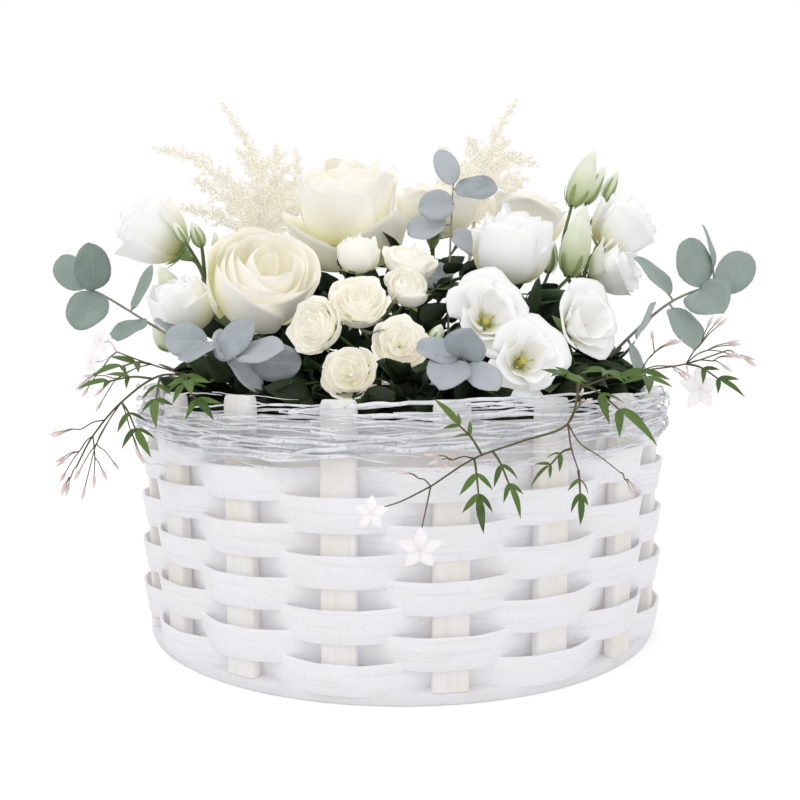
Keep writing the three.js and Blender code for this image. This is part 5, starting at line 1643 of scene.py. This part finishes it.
ASTILBE_LEFT = Astilbe(
    "left_astilbe", "astilbe_left", Stem((-52, 44, 84), (-84, 52, 176), (-124, 58, 296), 2.2),
    (-152, 60, 415), (15, 0, 2),
    ((0.1, (-208, 56, 374), (6, 0, 16)), (0.06, (-90, 62, 374), (14, 0, -4)), (0.12, (-106, 52, 376), (8, 0, 4)),
     (0.02, (-186, 44, 322), (0, 0, 9)), (0.05, (-176, 50, 348), (0, 0, 9)), (0.01, (-88, 50, 326), (0, 0, 7)),
     (0.03, (-88, 60, 350), (4, 0, 4))))
ASTILBE_RIGHT = Astilbe(
    "right_astilbe", "astilbe_right", Stem((36, 70, 84), (48, 92, 176), (64, 100, 318), 2.2),
    (101, 98, 424), (-8, 0, 4),
    ((0.04, (34, 98, 384), (0, 0, 6)), (0.2, (120, 94, 366), (0, 0, 18)), (0.1, (112, 96, 352), (0, 0, 14)),
     (0.01, (58, 128, 376), (0, 0, 4)), (0.02, (96, 112, 346), (0, 0, 8))), seed=31)


class Facing(Enum):
    """Where a round leaf faces."""

    FRONT = (0.0, -1.0, 0.3)
    UPWARDS = (0.0, -0.4, 1.0)
    LEFT = (-0.9, -0.5, 0.3)
    RIGHT = (0.9, -0.5, 0.3)


RoundLeaf = tuple[Spot, float, Facing, float]


@dataclass(frozen=True)
class Sprig:
    """A thin twig of round leaves."""

    path: tuple[Spot, ...]
    leaves: tuple[RoundLeaf, ...]
    thick: float = 1.8
    slot: int = 0

    def add(self, skin: Skin, draw: Draw) -> None:
        """Add the twig and its leaves, each as wide as its last number says, to a skin."""
        path = spline(self.path, 8 * len(self.path))
        skin.tube(path, np.linspace(self.thick, 0.45 * self.thick, len(path)), 6, slot=STALK_SLOT)
        for middle, radius, facing, wide in self.leaves:
            centre = vec(*middle)
            near = path[np.argmin(np.linalg.norm(path - centre, axis=1))]
            aim = unit(centre - near)
            up = unit(vec(*facing.value) + draw.normal(0, 0.22, 3))
            root = centre - aim * radius
            if (centre - near).dot(aim) > radius:
                stub = spline([near, 0.5 * (near + root) + 0.6 * UP, root + aim], 5)
                skin.tube(stub, 0.7, 5, slot=STALK_SLOT)
            grid = Outline.ROUND.blade(root, centre + aim * radius * 1.06, 2.0 * radius * wide, up,
                                       fold=draw.uniform(0.12, 0.36), arch=draw.uniform(-0.2, 0.26), wave=0.035)
            skin.sheet(grid, 0.6, draw.uniform(0, 1), self.slot)


@dataclass
class Eucalyptus:
    """Sprigs of round leaves that share a root."""

    name: str
    node: str
    root: Spot
    fork: Spot
    sprigs: tuple[Sprig, ...]
    seed: int = 60

    def build(self) -> Piece:
        """Return the sprigs in one piece."""
        skin = Skin()
        draw = np.random.default_rng(self.seed)
        skin.tube(spline([self.root, self.fork, vec(*self.fork) + 2 * UP], 7), 2.0, 8, slot=STALK_SLOT)
        for sprig in self.sprigs:
            sprig.add(skin, draw)
        return seat(skin.build(self.name, Look.GREY_GREEN, Look.WOODY, Look.SILVER), "bluegreen", self.node)


F, U, L, R = Facing.FRONT, Facing.UPWARDS, Facing.LEFT, Facing.RIGHT
EUCALYPTUS_LEFT = Eucalyptus(
    "left_eucalyptus", "eucalyptus_left", (-72, -60, 90), (-98, -84, 176), (
        Sprig(((-98, -84, 176), (-132, -98, 204), (-168, -92, 224), (-206, -84, 246), (-222, -80, 252)),
              (((-230, -80, 262), 14, F, 0.76), ((-211, -92, 264), 17, F, 0.72), ((-215, -90, 236), 15, F, 0.95),
               ((-178, -82, 250), 16, L, 0.42), ((-183, -100, 221), 14, F, 0.85),
               ((-154, -114, 220), 14, F, 0.8)), 1.3),
        Sprig(((-98, -84, 176), (-106, -108, 196), (-112, -136, 206), (-126, -140, 216)),
              (((-136, -142, 216), 13, F, 0.85), ((-106, -142, 216), 17, F, 0.62), ((-126, -154, 208), 17, U, 0.6),
               ((-88, -150, 208), 17, L, 0.7), ((-82, -132, 202), 16, L, 0.8), ((-116, -132, 212), 14, R, 0.7),
               ((-100, -136, 196), 15, U, 0.7)), 1.3, 2)))
EUCALYPTUS_CENTRE = Eucalyptus(
    "centre_eucalyptus", "eucalyptus_centre", (26, -50, 88), (34, -72, 176), (
        Sprig(((34, -72, 176), (34, -46, 236), (36, -36, 290), (38, -32, 330)),
              (((33, -34, 342), 13, F, 0.7), ((26, -34, 314), 13, F, 0.9), ((54, -32, 324), 15, F, 0.85),
               ((20, -26, 298), 15, L, 0.9), ((48, -30, 288), 13, R, 0.9), ((26, -36, 262), 13, F, 0.8)), 1.1, 2),
        Sprig(((34, -72, 176), (36, -112, 196), (36, -146, 200), (36, -158, 206)),
              (((39, -168, 215), 14, F, 0.95), ((28, -174, 198), 14, F, 0.95), ((48, -170, 194), 13, U, 0.85),
               ((21, -162, 208), 13, L, 0.8)), 1.2, 2)), 61)
EUCALYPTUS_RIGHT = Eucalyptus(
    "right_eucalyptus", "eucalyptus_right", (98, -34, 90), (130, -46, 176), (
        Sprig(((130, -46, 176), (158, -62, 212), (186, -74, 240), (212, -76, 252), (226, -80, 254)),
              (((180, -64, 262), 19, R, 0.62), ((170, -88, 228), 19, L, 0.75), ((194, -90, 226), 17, U, 0.8),
               ((204, -72, 268), 17, F, 0.85), ((210, -90, 245), 17, F, 0.95), ((231, -80, 262), 16, F, 0.8),
               ((219, -66, 282), 17, R, 0.4), ((164, -80, 204), 15, R, 0.85)), 1.3),), 62)


Path = tuple[Spot, ...]
STAR_SLOT = 2


@dataclass
class Jasmine:
    """A trailing vine with feathered leaves and star flowers."""

    name: str
    node: str
    stem: Stem
    vines: tuple[tuple[Path, float], ...]
    leaves: tuple[tuple[tuple, tuple, float], ...]
    stars: tuple[tuple[tuple, tuple, tuple, float], ...]
    twiglets: tuple[tuple[tuple, tuple], ...]
    seed: int = 70

    def feather(self, skin: Skin, root: Array, tip: Array, size: float, draw: Draw) -> None:
        """Add a leaf of two pairs of leaflets and a longer one at its end."""
        up = vec(0, -0.6, 0.8)
        end = tip + unit(tip - root) * size
        rib = spline([root, 0.5 * (root + tip) + vec(0, 0, 2), tip, 0.75 * tip + 0.25 * end], 9)
        skin.tube(rib, np.linspace(0.8, 0.4, 9), 5, slot=STALK_SLOT)
        side = unit(np.cross(up, end - root))
        ahead = unit(end - root)
        for k in range(2):
            start = rib[3 + 3 * k]
            for hand in (-1, 1):
                aim = unit(side * hand + ahead * draw.uniform(0.7, 1.2) + up * draw.normal(0, 0.2))
                long = size * draw.uniform(0.9, 1.4)
                grid = Outline.SLIM.blade(start, start + aim * long, 0.26 * long, up + draw.normal(0, 0.25, 3),
                                          fold=0.35, arch=draw.uniform(0.15, 0.4))
                skin.sheet(grid, 0.4, draw.uniform(0, 1), LEAF_SLOT)
        grid = Outline.SLIM.blade(rib[-1], end + ahead * size * 1.1, 0.44 * size, up + draw.normal(0, 0.2, 3),
                                  fold=0.3, arch=0.25)
        skin.sheet(grid, 0.4, draw.uniform(0, 1), LEAF_SLOT)

    def star(self, skin: Skin, start: Array, middle: Array, faces: Array, radius: float) -> None:
        """Add a star of five petals on its tube."""
        face = unit(faces)
        axes = frame_at(face, 0.3)
        skin.tube(spline([start, middle - face * 9 + vec(0, 0, 1), middle - face * 4, middle], 9),
                  (0.5, 0.5, 0.5, 0.55, 0.6, 0.8, 1.0, 1.1, 1.4), 8, slot=STAR_SLOT)
        for k in range(5):
            angle = k / 5 * TURN
            out = spoke(angle, *axes[:2])
            grid = Outline.LANCE.blade(middle + out * 0.5, middle + out * radius * 1.1, 0.68 * radius, face,
                                       fold=0.08, arch=0.1)
            skin.sheet(grid, 0.35, 0.3, STAR_SLOT)

    def twiglet(self, skin: Skin, start: Array, end: Array, draw: Draw) -> None:
        """Add a hair-thin twig that forks into two or three slim buds."""
        along = end - start
        fork = start + 0.6 * along + draw.normal(0, 1.2, 3)
        for k in range(draw.integers(2, 4)):
            tip = end + draw.normal(0, 0.16, 3) * np.linalg.norm(along) * (k > 0)
            path = spline([start, 0.5 * (start + fork) + UP * 1.5, fork, 0.5 * (fork + tip) + UP * 0.8, tip], 13)
            skin.tube(path, np.linspace(0.42, 0.3, 13), 5, slot=STALK_SLOT)
            aim = unit(path[-1] - path[-2])
            bud = tip + np.outer((0.0, 1.8, 4.2, 6.8, 9.0), aim)
            skin.tube(bud, (0.35, 0.7, 1.15, 0.8, 0.15), 7, tint=0.6, slot=BUD_SLOT)

    def build(self) -> Piece:
        """Return the vine in one piece."""
        skin = Skin()
        draw = np.random.default_rng(self.seed)
        self.stem.add(skin)
        for path, thick in self.vines:
            count = 7 * len(path)
            skin.tube(spline(path, count), np.linspace(thick, 0.6 * thick, count), 6, slot=STALK_SLOT)
        for root, tip, size in self.leaves:
            self.feather(skin, vec(*root), vec(*tip), size, draw)
        for start, middle, faces, radius in self.stars:
            self.star(skin, vec(*start), vec(*middle), vec(*faces), radius)
        for start, end in self.twiglets:
            self.twiglet(skin, vec(*start), vec(*end), draw)
        piece = skin.build(self.name, Look.VINE_LEAF, Look.VINE, Look.STAR, Look.PINK_BUD)
        return seat(piece, "vine", self.node)


BEND_LEFT, BEND_RIGHT = (-134, -112, 190), (110, -136, 184)
HANG_LEFT, HANG_RIGHT, FRONT_END, RIGHT_END = (-174, -154, 178), (92, -214, 171), (16, -215, 136), (182, -134, 201)
JASMINE_LEFT = Jasmine(
    "left_jasmine", "jasmine_left", Stem((-104, -44, 94), (-118, -66, 176), BEND_LEFT, 1.4), (
        ((BEND_LEFT, (-152, -144, 194), HANG_LEFT, (-192, -155, 157), (-204, -152, 137)), 0.8),
        ((BEND_LEFT, (-166, -116, 200), (-190, -110, 208)), 0.7)),
    (((-152, -144, 194), (-148, -170, 182), 13), (HANG_LEFT, (-162, -168, 164), 11),
     ((-142, -126, 193), (-130, -166, 192), 14), ((-148, -138, 194), (-124, -172, 182), 12),
     ((-166, -116, 200), (-176, -142, 200), 13), ((-156, -146, 192), (-176, -168, 192), 10)),
    (((-190, -110, 208), (-199, -116, 216), (-0.5, -0.8, 0.3), 9),
     ((-190, -110, 208), (-206, -114, 202), (-0.6, -0.7, 0.1), 8)),
    ((HANG_LEFT, (-198, -160, 138)), ((-192, -155, 157), (-209, -155, 143)),
     ((-192, -155, 157), (-190, -160, 134)), (HANG_LEFT, (-158, -174, 150)),
     ((-190, -110, 208), (-206, -124, 190)), ((-204, -152, 137), (-208, -154, 128)),
     ((-184, -156, 167), (-208, -158, 160)), ((-166, -116, 200), (-192, -130, 186))))
JASMINE_RIGHT = Jasmine(
    "right_jasmine", "jasmine_right", Stem((78, -70, 94), (98, -96, 176), BEND_RIGHT, 1.4), (
        ((BEND_RIGHT, (104, -182, 192), HANG_RIGHT, (66, -220, 162), (40, -217, 152), FRONT_END), 0.85),
        ((BEND_RIGHT, (130, -140, 192), (150, -146, 197), RIGHT_END, (216, -112, 209)), 0.75),
        ((HANG_RIGHT, (93, -220, 158), (97, -220, 146)), 0.6),
        ((HANG_RIGHT, (99, -214, 160), (111, -210, 152), (124, -205, 142)), 0.5),
        ((FRONT_END, (0, -216, 128), (-12, -216, 124)), 0.55), ((FRONT_END, (10, -217, 108)), 0.5)),
    (((50, -218, 156), (58, -223, 140), 10), ((40, -217, 152), (42, -221, 134), 11),
     ((44, -218, 154), (32, -221, 170), 10), ((97, -220, 146), (98, -221, 134), 9),
     ((93, -220, 158), (82, -222, 150), 8), ((150, -146, 197), (146, -172, 195), 14),
     ((130, -140, 192), (124, -166, 197), 15), ((106, -176, 191), (124, -194, 178), 15),
     ((108, -160, 189), (96, -186, 196), 13), (RIGHT_END, (196, -150, 193), 10)),
    (((-12, -216, 124), (-17, -220, 122), (-0.2, -1, 0.1), 9),
     ((10, -217, 108), (10, -222, 102), (0.1, -1, -0.2), 12),
     (RIGHT_END, (192, -132, 185), (0.3, -0.9, 0.1), 14)),
    ((RIGHT_END, (190, -148, 224)), (RIGHT_END, (202, -146, 206)), ((150, -146, 197), (170, -162, 198)),
     ((150, -146, 197), (162, -158, 214)), ((216, -112, 209), (226, -116, 204)),
     ((124, -205, 142), (128, -206, 136)),
     (FRONT_END, (4, -220, 144)), ((40, -217, 152), (22, -222, 152)), (HANG_RIGHT, (104, -200, 182)),
     ((182, -134, 201), (206, -136, 214))), 71)


ROSE_LEFT_FOOT, SPRAY_FRONT = (-80, -132, 226), (-32, -184, 206)


@dataclass
class LeafBed:
    """Loose rose leaves that lie over the foam between the stems."""

    count: int = 620
    reach: float = 172.0
    limit: float = 186.0
    floor: float = 171.0
    crown: float = 105.0
    shortest: float = 20.0
    longest: float = 34.0
    seed: int = 90

    def leaflet(self) -> Piece:
        """Return one toothed leaflet that stands on its stalk, facing sideways."""
        skin = Skin()
        grid = Outline.SMALL_ROSE.blade(0 * UP, UP, 0.62, RIGHTWARDS, fold=0.22, arch=0.2, wave=0.02)
        skin.sheet(grid, 0.02)
        return template(skin, "bed_leaflet")

    def rooms(self) -> list[tuple[Array, float]]:
        """Return the middles and radii of the rooms that the flowers need, also in front of their faces."""
        groups = ((LARGE, 1.02), (SPRAY_HEADS, 1.22), (BELLS, 1.1))
        blooms = [(bloom, share) for group, share in groups for bloom in group]
        rooms = [(bloom.middle() + ahead * bloom.face, share * max(bloom.radius, 0.5 * bloom.depth))
                 for bloom, share in blooms for ahead in (0, 12, 24, 36)]
        plants = (EUCALYPTUS_LEFT, EUCALYPTUS_CENTRE, EUCALYPTUS_RIGHT)
        rooms += [(vec(*leaf[0]), 0.9 * leaf[1])
                  for plant in plants for sprig in plant.sprigs for leaf in sprig.leaves]
        return rooms + [(vec(*ROSE_LEFT_FOOT), 26.0), (vec(*SPRAY_FRONT), 22.0)]

    def build(self) -> Piece:
        """Return the bed in one piece."""
        draw = np.random.default_rng(self.seed)
        scatter = Scatter()
        rooms = self.rooms()
        while len(scatter.places) < self.count:
            angle, reach = draw.uniform(0, TURN), self.reach * math.sqrt(draw.uniform(0, 1))
            out = spoke(angle)
            crown = self.crown * (1 - (reach / self.reach) ** 2)
            place = out * reach + UP * (self.floor + draw.uniform(0, 8 + crown))
            size = draw.uniform(self.shortest, self.longest)
            aim = unit(out * draw.uniform(0.5, 1.4) + UP * draw.uniform(0.1, 0.8)
                       + draw.normal(0, 0.45, 3) * vec(1, 1, 0.5))
            tint = draw.uniform(0, 1)
            spots = [place + aim * size * share for share in (0.2, 0.6, 1)]
            crowded = any(np.linalg.norm(spot - middle) < room for middle, room in rooms for spot in spots)
            if not crowded and np.linalg.norm(spots[-1][:2]) <= self.limit:
                scatter.add(place, aim, size, tint)
        # The bed's leaves take the rose leaf darkened with painted shade.
        return seat(scatter.grow("leaf_bed", self.leaflet(), Look.DEEP_LEAF, self.seed), "leaf")


# ---------------------------------------------------------------- the photograph's view
@dataclass
class Studio:
    """The camera, the soft lights and the pale floor."""

    focal: float = 40.545
    film: float = 36.0
    camera_at: Spot = (0.0, -0.711, 0.224)
    tilt: float = 0.08
    shift: float = -0.0025
    aim: Spot = (0.0, 0.0, 0.2)
    air: float = 0.84
    floor_reach: float = 6.0
    floor_tone: Colour = (0.9, 0.9, 0.9, 1.0)
    floor_glow: float = 0.25

    def camera(self) -> None:
        """Place the camera of the photograph."""
        data = bpy.data.cameras.new("camera")
        data.lens, data.sensor_width, data.shift_x = self.focal, self.film, self.shift
        camera = stand("camera", data)
        camera.location = self.camera_at
        camera.rotation_euler = (math.pi / 2 - self.tilt, 0, 0)
        bpy.context.scene.camera = camera

    def light(self, name: str, at: Spot, power: float, size: float) -> None:
        """Place one soft light that looks at the arrangement."""
        data = bpy.data.lights.new(name, "AREA")
        data.shape, data.size, data.energy = "DISK", size, power
        light = stand(name, data)
        light.location = at
        light.rotation_euler = (Vector(self.aim) - Vector(at)).to_track_quat("-Z", "Y").to_euler()

    def room(self) -> None:
        """Fill the room with soft light, and show it white to the camera."""
        world = bpy.data.worlds.new("soft_room")
        world.use_nodes = True
        graph = Graph(world.node_tree)
        background = world.node_tree.nodes["Background"]
        background.inputs["Color"].default_value = WHITE
        seen = graph.node("LightPath", output="Is Camera Ray")
        graph.plug(seen * (1.0 - self.air) + self.air, background.inputs["Strength"])
        bpy.context.scene.world = world

    def floor(self) -> None:
        """Lay the pale floor, a little brighter to the camera."""
        mesh = bpy.data.meshes.new("floor")
        far = self.floor_reach
        mesh.from_pydata([(-far, -far, 0), (far, -far, 0), (far, far, 0), (-far, far, 0)], [], [(0, 1, 2, 3)])
        material = bpy.data.materials.new("pale_floor")
        material.use_nodes = True
        graph = Graph(material.node_tree)
        glow = graph.node("LightPath", output="Is Camera Ray") * self.floor_glow
        shader = material.node_tree.nodes["Principled BSDF"]
        for label, value in (("Base Color", self.floor_tone), ("Roughness", 0.9), ("Emission Color", WHITE),
                             ("Emission Strength", glow)):
            graph.plug(value, shader.inputs[label])
        mesh.materials.append(material)
        floor = stand("floor", mesh)

    def build(self) -> None:
        """Place everything."""
        self.camera()
        self.light("key_light", (-0.8, -1.3, 1.9), 7.0, 1.1)
        self.light("fill_light", (1.5, -1.2, 0.9), 1.5, 1.4)
        self.light("back_light", (0.4, 1.5, 1.6), 4.0, 1.2)
        self.room()
        self.floor()
        bpy.context.scene.view_settings.view_transform = "Standard"


def main() -> None:
    """Build the arrangement piece by piece, from the basket up."""
    logging.basicConfig(level=logging.INFO, format="%(message)s")
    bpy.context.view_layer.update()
    Studio().build()
    BaseBoard().build()
    Stakes().build()
    Weave().build()
    TwigRim().build()
    Liner().build()
    FoamBlock().build()
    LargeRoses().build()
    SprayRoses().build()
    Lisianthus().build()
    for stems in (ROSE_LEFT_STEM, ROSE_BACK_STEMS, SPRAY_STEMS, LISIANTHUS_LEFT, LISIANTHUS_RIGHT):
        stems.build()
    for plant in (ASTILBE_LEFT, ASTILBE_RIGHT, EUCALYPTUS_LEFT, EUCALYPTUS_CENTRE, EUCALYPTUS_RIGHT, JASMINE_LEFT,
                  JASMINE_RIGHT):
        plant.build()
    LeafBed().build()


if __name__ == "__main__":
    main()
